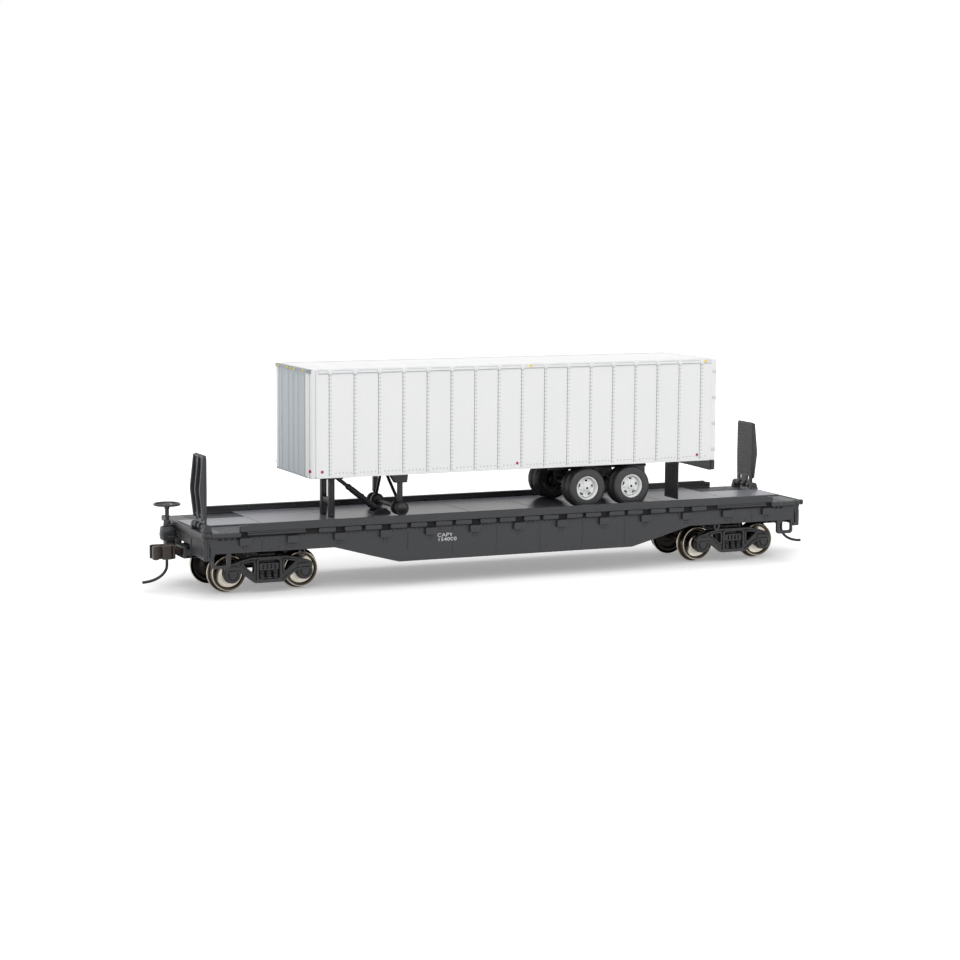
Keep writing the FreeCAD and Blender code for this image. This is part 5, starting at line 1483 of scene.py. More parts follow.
    def draft_boxes(self) -> None:
        """Build both draft boxes: flared walls, lid, ribs, and the screw that holds each coupler."""
        room = self.bench.room("draft_boxes")
        low, high = room.z
        half = room.y[1]
        inner, outer = 84.2, room.x[1]
        boxes = Shape()
        wall = 0.7
        for side in BOTH:
            for hand in BOTH:
                boxes.add(block((side * inner, side * (outer - 0.1)),
                                (hand * (half - wall), hand * (half - 0.12)), (low + 0.1, high), 0.08))
                boxes.add(block((side * (outer - 0.9), side * outer), (hand * (half - wall), hand * half),
                                (low, high), 0.1))
                for x in (inner + 1.6, inner + 3.6, inner + 5.4):
                    boxes.add(block((side * (x - 0.2), side * (x + 0.2)), (hand * (half - 0.2), hand * half),
                                    (low + 0.15, high - 0.1), 0.05))
            boxes.add(block((side * inner, side * (inner + wall)), (-half + 0.1, half - 0.1),
                            (low + 0.1, high), 0.08))
            outline = rounded(rectangle((side * inner, side * outer), (-half + 0.12, half - 0.12)), 0.4, 2)
            for z_low, z_high in ((low, low + wall), (high - wall, high)):
                boxes.add(extruded(Axis.Z, outline, z_low, z_high, 0.1))
            boxes.add(bar(Axis.Z, (low, high), (side * COUPLER_PIVOT, 0), 0.9, 24, 0.04))
            boxes.add(turned(Axis.Z, [(low, 0.5), (low, 1.25), (low + 0.1, 1.35), (low + 0.75, 1.35)],
                             (side * COUPLER_PIVOT, 0), 28))
            lip = [(side * (outer - 0.5), low + 0.02), (side * outer, low + 0.02),
                   (side * outer, low + 0.62)]
            boxes.add(extruded(Axis.Y, turning(lip, True), -half + 0.6, half - 0.6, 0.04))
        self.bench.put("draft_box_pair", boxes, CAR_PAINT, "draft_boxes")


@dataclass
class Truck:
    """One truck: cast side frames, coil springs and bolster."""

    bench: Bench
    word: str
    centre: float
    axle_x: float = 10.1
    axle_z: float = 5.45
    spring_y: float = 12.55

    def build(self) -> None:
        """Build the truck's three parts."""
        self.side_frames()
        self.springs()
        self.bolster()

    def side_frames(self) -> None:
        """Build the side frames with their raised rims, journal boxes, pockets and brake hanger loop."""
        node = f"truck_side_frames_{self.word}"
        room = self.bench.room(node)
        face = room.y[1]
        back = 11.6
        half = [(3.9, 2.88), (6.7, 5.0), (8.2, 5.9), (12.2, 5.9), (12.2, 8.0), (7.4, 9.45), (4.6, 9.95)]
        outline = rounded([(-x, z) for x, z in half] + [(x, z) for x, z in reversed(half)], 0.9, 3)
        window = rounded(rectangle((-2.9, 2.9), (3.85, 9.0)), 0.5, 3)
        holes = [window]
        for way in BOTH:
            hole = [(way * x, z) for x, z in ((4.25, 8.75), (4.25, 5.4), (7.3, 8.1), (7.3, 8.3))]
            holes.append(rounded(hole, 0.4, 2))
        frames = Shape()
        plate = extruded(Axis.Y, turning(outline, True), back, face - 0.42, 0.1,
                         [turning(hole, True) for hole in holes])
        parts = [plate]
        parts += self.rims(outline, holes, face)
        for way in BOTH:
            parts += self.journal(way * self.axle_x, back, face)
        parts += self.pedestal_details(back, face)
        for solid in parts:
            frames.both(solid.moved(Matrix.Translation((self.centre, 0, 0))))
        self.bench.put(f"truck_side_castings_{self.word}", frames, TRUCK_ACETAL, node)

    def rims(self, outline: Outline, holes: list[Outline], face: float) -> list[Solid]:
        """Return the raised rims that follow the frame's outline and its holes.

        Args:
            outline: the frame's outline.
            holes: the outlines of its holes.
            face: the rims' outer face.

        Returns:
            One closed rim for each outline.
        """
        outer = turning(outline, True)
        parts = [extruded(Axis.Y, shrunk(outer, 0.02), face - 0.5, face - 0.04, 0.12, [shrunk(outer, 0.62)])]
        for hole in holes:
            drawn = turning(hole, True)
            parts.append(extruded(Axis.Y, shrunk(drawn, -0.55), face - 0.5, face - 0.1, 0.12,
                                  [shrunk(drawn, 0.02)]))
        return parts

    def journal(self, x: float, back: float, face: float) -> list[Solid]:
        """Return one roller bearing end with its adapter, cap bolts and grease plug.

        Args:
            x: the axle's place along the truck.
            back: the frame's inner face.
            face: the frame's outer face.

        Returns:
            Its solids.
        """
        middle = (x, self.axle_z)
        cap = [(face - 0.75, 2.05), (face - 0.3, 2.05), (face - 0.16, 1.9), (face - 0.16, 1.5),
               (face - 0.42, 1.38), (face - 0.42, 1.2), (face - 0.08, 1.1), (face - 0.02, 0.5),
               (face - 0.02, 0.0)]
        parts = [turned(Axis.Y, cap, middle, 36)]
        bolt = extruded(Axis.Y, circle((0, 0), 0.3, 6), face - 0.3, face, 0.06)
        for turn in (math.radians(90 + 120 * index) for index in range(3)):
            place = (x + 0.72 * math.cos(turn), 0, self.axle_z + 0.72 * math.sin(turn))
            parts.append(bolt.moved(Matrix.Translation(place)))
        saddle = [(x - 2.35, 6.6), (x + 2.35, 6.6), (x + 2.0, 7.5), (x - 2.0, 7.5)]
        parts.append(extruded(Axis.Y, rounded(saddle, 0.3), face - 0.6, face - 0.12, 0.12))
        sleeve = [(back, 1.0), (back, 2.3), (back + 0.3, 2.4), (face - 0.6, 2.3)]
        sleeve += [(face - 0.6, 2.0), (12.8, 2.0), (12.8, 1.0)]
        parts.append(turned(Axis.Y, sleeve, middle, 32, True))
        return parts

    def pedestal_details(self, back: float, face: float) -> list[Solid]:
        """Return the spring seat, wedge pockets, column guides and hanger loop of one side frame.

        Args:
            back: the frame's inner face.
            face: the frame's outer face.

        Returns:
            Its solids.
        """
        parts = [block((-3.7, 3.7), (back, face - 0.05), (2.9, 3.83), 0.12)]
        for way in BOTH:
            parts.append(block((way * 2.95, way * 3.6), (face - 0.5, face), (3.8, 9.1), 0.12))
            parts.append(block((way * 8.4, way * 11.7), (face - 0.5, face - 0.1), (7.45, 7.75), 0.1))
            for z in (4.7, 6.4, 8.1):
                place = Matrix.Translation((way * 3.25, face - 0.04, z)) @ facing((0, 1, 0))
                parts.append(rivet(0.17, 0.04).moved(place))
        return parts

    def springs(self) -> None:
        """Wind three coil springs in each side frame, between its seat and the bolster."""
        node = f"truck_springs_{self.word}"
        low, high = 3.84, 6.1
        coils = Shape()
        turns, radius, wire = 3.6, 0.62, 0.23
        for x in (-1.93, 0.0, 1.93):
            path = []
            for index in range(int(turns * 12) + 1):
                turn = math.tau * index / 12
                share = index / (turns * 12)
                path.append((self.centre + x + radius * math.cos(turn),
                             self.spring_y + radius * math.sin(turn),
                             low + wire + (high - low - 2 * wire) * share))
            coils.both(rod(path, wire, 7))
            coils.both(bar(Axis.Z, (low + 0.02, high - 0.02), (self.centre + x, self.spring_y), 0.34, 12))
            for z in ((low, low + 0.16), (high - 0.16, high)):
                coils.both(bar(Axis.Z, z, (self.centre + x, self.spring_y), 0.78, 20, 0.04))
        self.bench.put(f"truck_coil_springs_{self.word}", coils, TRUCK_ACETAL, node)

    def bolster(self) -> None:
        """Build the bolster: a crowned beam with side bearings, a centre bowl and ribbed ends."""
        node = f"truck_bolster_{self.word}"
        room = self.bench.room(node)
        x = self.centre
        low, high = 8.5, room.z[1]
        beam = Shape()
        outline = [(-11.6, low), (11.6, low), (11.6, high - 0.5), (7.5, high - 0.35), (5.0, high - 0.25),
                   (-5.0, high - 0.25), (-7.5, high - 0.35), (-11.6, high - 0.5)]
        beam.add(extruded(Axis.X, outline, x - 2.4, x + 2.4, 0.15))
        bowl = [(high - 0.4, 1.35), (high - 0.4, 3.3), (high - 0.1, 3.3), (high, 3.15), (high, 2.75),
                (high - 0.15, 2.7), (high - 0.15, 1.35)]
        beam.add(turned(Axis.Z, bowl, (x, 0), 40, True))
        for hand in BOTH:
            beam.add(block((x - 1.2, x + 1.2), (hand * 7.0, hand * 9.4), (high - 0.5, high - 0.05), 0.15))
            beam.add(bar(Axis.Y, (hand * 7.3, hand * 9.1), (x - 0.5, high - 0.28), 0.22, 14))
            beam.add(bar(Axis.Y, (hand * 7.3, hand * 9.1), (x + 0.5, high - 0.28), 0.22, 14))
            beam.add(block((x - 2.2, x + 2.2), (hand * 9.7, hand * 11.6), (6.2, low + 0.1), 0.15))
            beam.add(block((x - 2.7, x + 2.7), (hand * 11.5, hand * 12.75), (6.15, 8.15), 0.15))
        slots = [turning(rounded(rectangle((x + dx - 0.24, x + dx + 0.24), (6.55, 7.8)), 0.2, 2), True)
                 for dx in (-1.65, -0.55, 0.55, 1.65)]
        end = turning(rounded(rectangle((x - 2.75, x + 2.75), (6.12, 8.2)), 0.5, 3), True)
        beam.both(block((x - 2.85, x + 2.85), (10.9, 11.62), (3.88, 6.3), 0.1))
        beam.both(extruded(Axis.Y, end, 12.7, 13.2, 0.1, slots))
        self.bench.put(f"truck_bolster_beam_{self.word}", beam, TRUCK_ACETAL, node)


@dataclass
class Wheelset:
    """One axle with its two flanged wheels."""

    bench: Bench
    truck: str
    word: str
    steps: int = 72

    def build(self) -> None:
        """Turn the bright outer faces and treads, the dark backs and axle, and the bearing cones."""
        node = f"wheelset_{self.truck}_{self.word}"
        room = self.bench.room(node)
        middle = ((room.x[0] + room.x[1]) / 2, (room.z[0] + room.z[1]) / 2)
        face = [(7.2, 5.28), (7.27, 5.42), (7.38, 5.45), (7.5, 5.4), (7.6, 5.15), (7.72, 4.9), (7.9, 4.82),
                (9.85, 4.76), (9.97, 4.68), (10.0, 4.55), (10.0, 4.12), (9.95, 3.98), (9.8, 3.92),
                (9.45, 3.88), (9.3, 3.8), (9.22, 3.5), (9.2, 2.9), (9.24, 2.4), (9.34, 2.05), (9.5, 1.85),
                (9.85, 1.7), (10.0, 1.6), (10.0, 1.05), (9.9, 0.95)]
        dull_and_shaded, highlight_rings, dark = Shape(), Shape(), Shape()
        # The tread and the rim's face: the same metal as the rings, darker and browner, partly a duller tone
        # and partly painted shade.
        dull_and_shaded.both(turned(Axis.Y, face + [(8.6, 0.95), (8.6, 4.6), (7.2, 4.6)], middle, self.steps, True))
        flange = [(7.19, 5.3), (7.26, 5.43), (7.38, 5.449), (7.5, 5.41), (7.56, 5.28), (7.4, 5.2)]
        lip = [(9.72, 4.79), (9.98, 4.7), (10.015, 4.56), (9.98, 4.46), (9.8, 4.4)]
        dish = [(9.965, 3.99), (9.81, 3.93), (9.46, 3.89), (9.31, 3.81), (9.23, 3.5), (9.215, 2.9),
                (9.255, 2.4), (9.355, 2.05), (9.5, 1.87), (9.3, 1.85), (9.0, 2.3), (8.95, 3.4), (9.1, 3.95),
                (9.5, 4.05)]
        # The flange edge, the lip and the dish ring: bright metal as painted highlights where these edges
        # catch light.
        for profile in (flange, lip, dish):
            highlight_rings.both(turned(Axis.Y, turning(profile, True), middle, self.steps, True))
        self.bench.put(f"wheel_treads_{self.truck}_{self.word}", dull_and_shaded, WHEEL_TREAD_DULL_AND_SHADED, node, smooth=28.0)
        back = [(7.2, 5.26), (7.2, 4.1), (7.26, 3.98), (7.75, 3.88), (7.95, 3.6), (7.97, 2.4), (7.75, 1.95),
                (7.3, 1.68), (7.2, 1.55), (7.2, 0.9), (8.7, 0.9), (8.7, 4.62), (7.24, 4.7)]
        dark.both(turned(Axis.Y, back, middle, self.steps, True))
        dark.add(bar(Axis.Y, (-9.9, 9.9), middle, 0.75, 24, 0.05))
        dark.add(bar(Axis.Y, (-7.15, 7.15), middle, 0.95, 24, 0.1))
        cone = [(9.8, 0.75), (11.4, 0.75), (11.6, 0.62), (12.2, 0.5), (12.6, 0.18), (12.6, 0.0)]
        dark.both(turned(Axis.Y, cone, middle, 24))
        dark.both(turned(Axis.Y, [(9.8, 1.5), (10.02, 1.46), (10.02, 0.8), (9.8, 0.8)], middle, 40, True))
        self.bench.put(f"wheel_highlight_rings_{self.truck}_{self.word}", highlight_rings, WHEEL_HIGHLIGHT_NICKEL, node, smooth=28.0)
        self.bench.put(f"wheel_backs_{self.truck}_{self.word}", dark, WHEEL_BLACK, node, smooth=35.0)


@dataclass
class Coupler:
    """A knuckle coupler with its curved trip pin."""

    bench: Bench
    word: str
    side: int

    def build(self) -> None:
        """Build the coupler and its pin."""
        self.casting()
        self.trip_pin()

    def outline(self, *corners: Pair) -> Outline:
        """Return an outline given along the coupler and across it, turned to this end of the car."""
        return turning([(self.side * x, -self.side * y) for x, y in corners], True)

    def casting(self) -> None:
        """Build the eye, shank, head, guard arm and hooked knuckle."""
        node = f"coupler_{self.word}"
        side = self.side
        body = Shape()
        post = (side * COUPLER_PIVOT, 0.0)
        eye = circle(post, 1.86, 28)
        body.add(extruded(Axis.Z, eye, 9.92, 11.38, 0.12, [circle(post, 0.97, 20)]))
        shank = self.outline((88.0, -0.86), (92.6, -0.86), (93.5, -1.5), (93.5, 1.5), (92.6, 0.86),
                             (88.0, 0.86))
        body.add(extruded(Axis.Z, shank, 9.95, 11.35, 0.14))
        body.add(block((side * 91.9, side * 92.6), (-0.5, 0.5), (11.2, 11.4), 0.05))
        head = self.outline((93.15, -1.78), (95.0, -1.78), (95.7, -1.5), (95.7, 1.78), (94.6, 1.78),
                            (93.15, 1.5))
        body.add(extruded(Axis.Z, rounded(head, 0.25), 8.8, 12.5, 0.22))
        guard = self.outline((94.6, 0.95), (95.8, 0.9), (97.0, 1.35), (98.2, 1.45), (99.36, 1.1),
                             (99.36, 1.75), (98.6, 2.25), (95.4, 2.25), (94.6, 1.75))
        body.add(extruded(Axis.Z, rounded(guard, 0.2), 8.8, 12.5, 0.22))
        jaw = self.outline((94.9, -1.15), (96.5, -1.15), (96.9, -1.4), (96.9, -2.1), (96.7, -2.28),
                           (94.6, -2.28), (93.6, -1.7))
        body.add(extruded(Axis.Z, rounded(jaw, 0.2), 8.8, 12.5, 0.22))
        body.add(block((side * 93.2, side * 95.6), (-1.4, 1.4), (12.3, 12.54), 0.1))
        self.bench.put(f"coupler_casting_{self.word}", body, COUPLER_ACETAL, node)
        knuckle = Shape()
        middle = 10.65
        nose = self.outline((96.3, -0.55), (96.3, -1.05), (97.85, -1.05), (97.85, -2.2), (99.0, -2.28),
                            (99.36, -2.0), (99.36, -0.6), (98.9, -0.15), (97.4, -0.15))
        knuckle.add(extruded(Axis.Z, rounded(nose, 0.25), middle - 1.8, middle + 1.8, 0.18))
        hinge = (side * 98.6, side * 1.6)
        knuckle.add(bar(Axis.Z, (8.78, 12.52), hinge, 0.4, 18, 0.06))
        spring = [(side * 96.0 + 0.28 * math.cos(t), side * 0.3 + 0.28 * math.sin(t), 9.9 + 0.11 * t / 0.75)
                  for t in spread(0, 6.2 * math.pi, 62)]
        knuckle.add(rod(spring, 0.07, 6))
        self.bench.put(f"coupler_knuckle_{self.word}", knuckle, COUPLER_ACETAL, node)

    def trip_pin(self) -> None:
        """Bend the trip pin down from the head and forward under it."""
        node = f"trip_pin_{self.word}"
        room = self.bench.room(node)
        side = self.side
        wire = 0.39
        low = room.z[0] + wire
        start = (side * 95.1, 8.85)
        end = (side * (max(abs(room.x[0]), abs(room.x[1])) - 0.02), low)
        knee = (start[0], start[1] - 0.3 * (start[1] - end[1]))
        path = [(start[0], 0.0, start[1]), (knee[0], 0.0, (start[1] + knee[1]) / 2)]
        for share in spread(0.0, 1.0, 15):
            x = knee[0] + (end[0] - knee[0]) * (1 - math.cos(share * math.pi / 2))
            z = knee[1] + (end[1] - knee[1]) * math.sin(share * math.pi / 2)
            path.append((x, 0.0, z))
        pin = Shape()
        pin.add(rod(path, wire, 14))
        pin.add(bar(Axis.Z, (8.5, 8.74), (start[0], 0.0), 0.55, 18, 0.05))
        self.bench.put(f"trip_pin_wire_{self.word}", pin, PIN_WIRE, node)


@dataclass
class Hitch:
    """The collapsible hitch that holds the trailer's kingpin."""

    bench: Bench

    def build(self) -> None:
        """Build the head plate, its legs, the strut and the base."""
        self.head()
        self.legs()
        self.strut()
        self.base()

    def head(self) -> None:
        """Build the head plate with its jaw, its skirts and the trailer's kingpin plate."""
        room = self.bench.room("hitch_plate")
        low, high = room.z
        plate = Shape()
        outline = [(room.x[0], -3.6), (room.x[0] + 1.6, -5.4), (room.x[1] - 0.3, -5.4), (room.x[1], -4.8),
                   (room.x[1], 4.8), (room.x[1] - 0.3, 5.4), (room.x[0] + 1.6, 5.4), (room.x[0], 3.6)]
        hole = circle((KINGPIN, 0), 0.95, 24)
        plate.add(extruded(Axis.Z, rounded(outline, 0.3), low, high, 0.12, [hole]))
        self.bench.put("hitch_head_plate", plate, CAR_PAINT, "hitch_plate")
        slab_room = self.bench.room("kingpin_plate")
        slab = Shape()
        top = slab_room.z[1]
        outline = [(slab_room.x[0], slab_room.y[0] + 1.2), (slab_room.x[0] + 1.2, slab_room.y[0]),
                   (slab_room.x[1], slab_room.y[0]), (slab_room.x[1], slab_room.y[1]),
                   (slab_room.x[0] + 1.2, slab_room.y[1]), (slab_room.x[0], slab_room.y[1] - 1.2)]
        slab.add(extruded(Axis.Z, outline, high, top, 0.12))
        pin = [(slab_room.z[0], 0.0), (slab_room.z[0], 0.7), (slab_room.z[0] + 0.1, 0.8),
               (slab_room.z[0] + 0.35, 0.8), (slab_room.z[0] + 0.4, 0.62), (high - 0.3, 0.62),
               (high - 0.25, 0.8), (high + 0.3, 0.8)]
        slab.add(turned(Axis.Z, pin, (KINGPIN, 0), 28))
        head = rivet(0.16, 0.08).moved(facing((0, 0, -1)))
        slab.repeat(head, [(x, hand * y, high) for x in spread(slab_room.x[0] + 1.6, slab_room.x[1] - 0.8,
                                                               12) for hand in BOTH for y in (6.6, 8.2)])
        self.bench.put("kingpin_slab", slab, UNDERGEAR, "kingpin_plate")

    def legs(self) -> None:
        """Build the two flanged legs with their cross bar and pivot pins."""
        room = self.bench.room("hitch_legs")
        low, high = room.z
        left, right = room.x
        legs = Shape()
        inner, outer = 2.3, 3.8
        legs.both(block((left + 0.3, right - 0.3), (inner + 0.1, outer - 0.1), (low, high), 0.1))
        for x in ((left, left + 0.42), (right - 0.42, right)):
            legs.both(block(x, (inner, outer), (low + 0.6, high - 0.5), 0.12))
        for z in ((low, low + 0.9), (high - 0.8, high)):
            legs.both(block((left, right), (inner, outer), z, 0.14))
        bar_low, bar_high = 21.6, 23.2
        outline = [(-inner, bar_low), (inner, bar_low), (inner, bar_high + 0.5), (inner - 0.7, bar_high),
                   (0.7 - inner, bar_high), (-inner, bar_high + 0.5)]
        legs.add(extruded(Axis.X, outline, left + 0.25, right - 0.25, 0.12))
        for z in (low + 0.75, high - 0.55):
            legs.both(bar(Axis.Y, (inner - 0.12, outer - 0.02), ((left + right) / 2, z), 0.5, 18, 0.06))
        self.bench.put("hitch_leg_frame", legs, CAR_PAINT, "hitch_legs")

    def strut(self) -> None:
        """Build the slanting strut: rod above, sleeve below, with a collar and a forked foot."""
        start, end = (-47.3, 0.0, 28.7), (-34.9, 0.0, 18.9)
        strut = Shape()
        profile = [(0.0, 0.0), (0.0, 0.55), (0.28, 0.55), (0.28, 0.7), (0.3, 0.86), (0.34, 0.86),
                   (0.35, 0.76), (0.37, 0.76), (0.385, 0.86), (0.93, 0.86), (0.95, 0.75), (1.0, 0.7),
                   (1.0, 0.0)]
        strut.add(slanted(start, end, profile, 28))
        turn = facing(Vector(end) - Vector(start))
        for share in (0.62, 0.84):
            spot = Vector(start).lerp(Vector(end), share)
            strut.add(bar(Axis.X, (-1.0, 1.0), (0, 0), 0.3, 14).moved(Matrix.Translation(spot) @ turn
                      @ Matrix.Rotation(math.pi / 2, 4, "Z")))
        self.bench.put("hitch_strut_tube", strut, CAR_PAINT, "hitch_strut")

    def base(self) -> None:
        """Build the base: two ramped cheeks, the foot plate and the pivot between them."""
        room = self.bench.room("hitch_base")
        low, high = room.z
        left, right = room.x[0] + 1.4, room.x[1] + 1.6
        base = Shape()
        base.add(block((left, right), (room.y[0], room.y[1]), (low, low + 0.45), 0.1))
        cheek = [(left + 0.2, low + 0.3), (right - 0.1, low + 0.3), (right - 0.3, low + 0.6),
                 (right - 1.3, high), (left + 1.2, high), (left + 0.2, high - 0.6)]
        inner = room.y[1] - 0.85
        base.both(extruded(Axis.Y, rounded(cheek, 0.25), inner, room.y[1] - 0.05, 0.14))
        base.add(block((right - 1.9, right - 1.0), (-inner, inner), (low + 0.4, high - 0.2), 0.15))
        base.both(bar(Axis.Y, (inner, room.y[1]), (left + 2.2, high - 0.55), 0.5, 18, 0.06))
        for x in (left + 0.45, right - 0.45):
            base.both(rivet(0.22, 0.14).moved(Matrix.Translation((x, 0.9, low + 0.44))))
        self.bench.put("hitch_base_cheeks", base, CAR_PAINT, "hitch_base")


@dataclass
class LandingGear:
    """The trailer's landing legs, their wheels and their braces."""

    bench: Bench
    middle: float = -31.9
    inward: float = 3.3
    hub_z: float = 20.4

    def build(self) -> None:
        """Build the legs, wheels and braces."""
        self.legs()
        self.wheels()
        self.braces()

    def legs(self) -> None:
        """Build each leg: a tapered bracket, an outer tube, an inner tube and the foot hub."""
        room = self.bench.room("landing_legs")
        x = self.middle
        legs = Shape()
        top = room.z[1]
        step = Matrix.Translation((0, -self.inward, 0))
        low = self.hub_z
        outline = [(x - 3.2, top), (x - 3.2, top - 0.5), (x - 1.6, top - 2.95), (x + 1.9, top - 2.95),
                   (x + 2.2, top - 0.5), (x + 2.2, top)]
        hub = rounded([(x - 0.85, low - 0.8), (x + 0.85, low - 0.8), (x + 0.7, low + 0.75),
                       (x - 0.7, low + 0.75)], 0.3, 3)
        for solid in (
            extruded(Axis.Y, rounded(outline, 0.2), 11.5, 13.3, 0.16),
            block((x - 0.66, x + 0.66), (11.74, 13.06), (23.0, top - 0.4), 0.14),
            block((x - 0.5, x + 0.5), (11.9, 12.9), (low + 0.3, 23.4), 0.12),
            block((x - 0.7, x + 0.7), (11.7, 13.1), (22.9, 23.3), 0.1),
            block((x - 0.55, x + 0.55), (12.95, 13.1), (24.6, 26.4), 0.05),
            extruded(Axis.Y, hub, 11.66, 13.14, 0.12),
        ):
            legs.both(solid.moved(step))
        self.bench.put("landing_leg_tubes", legs, UNDERGEAR, "landing_legs")

    def wheels(self) -> None:
        """Turn the domed landing wheels and the axle across them."""
        room = self.bench.room("landing_wheels")
        wheels = Shape()
        middle = (self.middle, self.hub_z)
        step = Matrix.Translation((0, -self.inward, 0))
        near = [(13.3, 1.05), (13.3, 1.85), (13.4, 1.98), (13.9, 2.0), (14.15, 1.95), (14.32, 1.75),
                (14.25, 1.45), (14.3, 1.25), (14.5, 0.95), (14.66, 0.5), (14.7, 0.0)]
        wheels.both(turned(Axis.Y, near, middle, 36).moved(step))
        inner = [(10.1, 0.0), (10.12, 0.5), (10.3, 1.05), (10.36, 1.4), (10.28, 1.7), (10.45, 1.93),
                 (10.7, 2.0), (11.3, 1.98), (11.48, 1.85), (11.5, 1.0)]
        wheels.both(turned(Axis.Y, inner, middle, 36).moved(step))
        reach = max(abs(room.y[0]), abs(room.y[1])) - self.inward
        wheels.add(bar(Axis.Y, (self.inward - 13.35, 13.35 - self.inward), middle, 0.5, 18))
        wheels.both(bar(Axis.Y, (reach - 0.6, reach), middle, 0.34, 16, 0.08))
        self.bench.put("landing_wheel_discs", wheels, UNDERGEAR, "landing_wheels", smooth=40.0)

    def braces(self) -> None:
        """Run the two round braces from the floor's middle down to the legs."""
        braces = Shape()
        x = self.middle
        for hand in BOTH:
            start, end = (x - 1.3, hand * 0.9, 30.35), (x, hand * 8.3, 21.9)
            braces.add(slanted(start, end, [(0.0, 0.0), (0.0, 0.42), (0.08, 0.44), (0.9, 0.44),
                                            (0.93, 0.42), (1.0, 0.4), (1.0, 0.0)], 16))
        self.bench.put("landing_brace_rods", braces, UNDERGEAR, "landing_braces")


@dataclass
class TrailerRunningGear:
    """The trailer's tandem: its frame, springs, axles, road wheels and tyres."""

    bench: Bench

    def build(self) -> None:
        """Build the frame and both axles."""
        self.frame()
        for word in ("front", "rear"):
            self.wheels(word)
            for side, hand in ((-1, "left"), (1, "right")):
                self.tyres(word, side, hand)
        self.flaps()
        self.gussets()
        self.bumper()

    def frame(self) -> None:
        """Build the rails, hangers, leaf springs and cross members."""
        room = self.bench.room("trailer_bogie")
        low, high = 28.35, room.z[1]
        frame = Shape()
        x_low, x_high = room.x
        for z in ((low, low + 0.4), (high - 0.4, high)):
            frame.both(block((x_low, x_high), (5.4, 6.6), z, 0.08))
        frame.both(block((x_low + 0.1, x_high - 0.1), (5.8, 6.2), (low, high), 0.05))
        axles = (23.15, 37.15)
        for x in axles:
            hanger = [(x - 1.3, low + 0.2), (x + 1.3, low + 0.2), (x + 1.0, 24.8), (x + 0.9, 22.6),
                      (x - 0.9, 22.6), (x - 1.0, 24.8)]
            frame.both(extruded(Axis.Y, rounded(hanger, 0.3), 5.42, 6.58, 0.14))
            frame.both(block((x - 1.28, x + 1.28), (5.41, 6.59), (22.47, 23.0), 0.1))
        for index, (start, end) in enumerate(((0.0, 0.0), (0.9, -0.9), (2.2, -2.2), (3.8, -3.8))):
            z = 26.03 - 0.25 * index
            frame.both(block((axles[0] + start, axles[1] + end), (5.5, 6.5), (z - 0.24, z), 0.05))
        middle = sum(axles) / 2
        frame.both(block((middle - 1.0, middle + 1.0), (5.41, 6.59), (25.06, low + 0.2), 0.14))
        frame.add(block((middle - 0.95, middle + 0.95), (-5.6, 5.6), (28.4, 29.6), 0.12))
        self.bench.put("trailer_tandem_frame", frame, UNDERGEAR, "trailer_bogie")

    def wheels(self, word: str) -> None:
        """Build one axle's four road wheels, with hand holes, hub, lugs and rim flanges.

        Args:
            word: the axle's name.
        """
        node = f"trailer_wheels_{word}"
        room = self.bench.room(node)
        x = (room.x[0] + room.x[1]) / 2
        z = (room.z[0] + room.z[1]) / 2
        wheels = Shape()
        middle = (x, z)
        rim = [(8.32, 3.3), (13.3, 3.3), (13.45, 3.34), (13.58, 3.3), (13.6, 3.18), (13.55, 3.05),
               (13.3, 2.98), (12.7, 2.92), (12.1, 2.86), (11.95, 2.7), (11.95, 2.5), (8.32, 2.5)]
        wheels.both(turned(Axis.Y, rim, middle, 56, True))
        disc = circle(middle, 2.62, 48)
        holes = []
        for turn in (math.radians(90 + 72 * index) for index in range(5)):
            spot = (x + 2.08 * math.cos(turn), z + 2.08 * math.sin(turn))
            drawn = rounded([(-0.26, -0.62), (0.26, -0.62), (0.26, 0.62), (-0.26, 0.62)], 0.24, 3)
            cos, sin = math.cos(turn), math.sin(turn)
            holes.append([(spot[0] + u * cos - v * sin, spot[1] + u * sin + v * cos) for u, v in drawn])
        wheels.both(extruded(Axis.Y, disc, 12.1, 12.52, 0.06, holes))
        ring = [(12.4, 1.5), (12.72, 1.46), (12.8, 1.3), (12.8, 0.95), (12.6, 0.9), (12.4, 0.9)]
        wheels.both(turned(Axis.Y, ring, middle, 40, True))
        hub = [(12.0, 0.95), (13.1, 0.9), (13.35, 0.78), (13.42, 0.5), (13.42, 0.0)]
        wheels.both(turned(Axis.Y, hub, middle, 32))
        spoke = [(-0.34, 0.8), (0.34, 0.8), (0.24, 2.5), (-0.24, 2.5)]
        for turn in (math.radians(54 + 72 * index) for index in range(5)):
            spin = Matrix.Translation((x, 0, z)) @ Matrix.Rotation(turn, 4, "Y")
            wheels.both(extruded(Axis.Y, turning(spoke, True), 12.4, 12.86, 0.1).moved(spin))
        nut = extruded(Axis.Y, circle((0, 0), 0.15, 6), 12.7, 13.0, 0.04)
        for turn in (math.tau * (index + 0.5) / 10 for index in range(10)):
            place = (x + 1.17 * math.cos(turn), 0, z + 1.17 * math.sin(turn))
            wheels.both(nut.moved(Matrix.Translation(place)))
        self.bench.put(f"road_wheels_{word}", wheels, RIM_WHITE, node, smooth=40.0)
        axle = Shape()
        axle.add(bar(Axis.Y, (-12.2, 12.2), middle, 0.9, 24, 0.05))
        axle.both(turned(Axis.Y, [(7.7, 0.85), (7.7, 1.3), (7.8, 1.44), (8.3, 1.44), (8.3, 0.85)], middle,
                         28, True))
        backs = [(8.3, 3.25), (8.3, 2.2), (8.7, 2.0), (9.2, 1.5), (9.3, 0.9), (9.7, 0.9), (9.7, 2.5),
                 (8.5, 3.25)]
        axle.both(turned(Axis.Y, backs, middle, 40, True))
        axle.both(bar(Axis.Y, (13.3, 13.47), middle, 0.36, 18, 0.04))
        self.bench.put(f"road_axle_{word}", axle, UNDERGEAR, node)

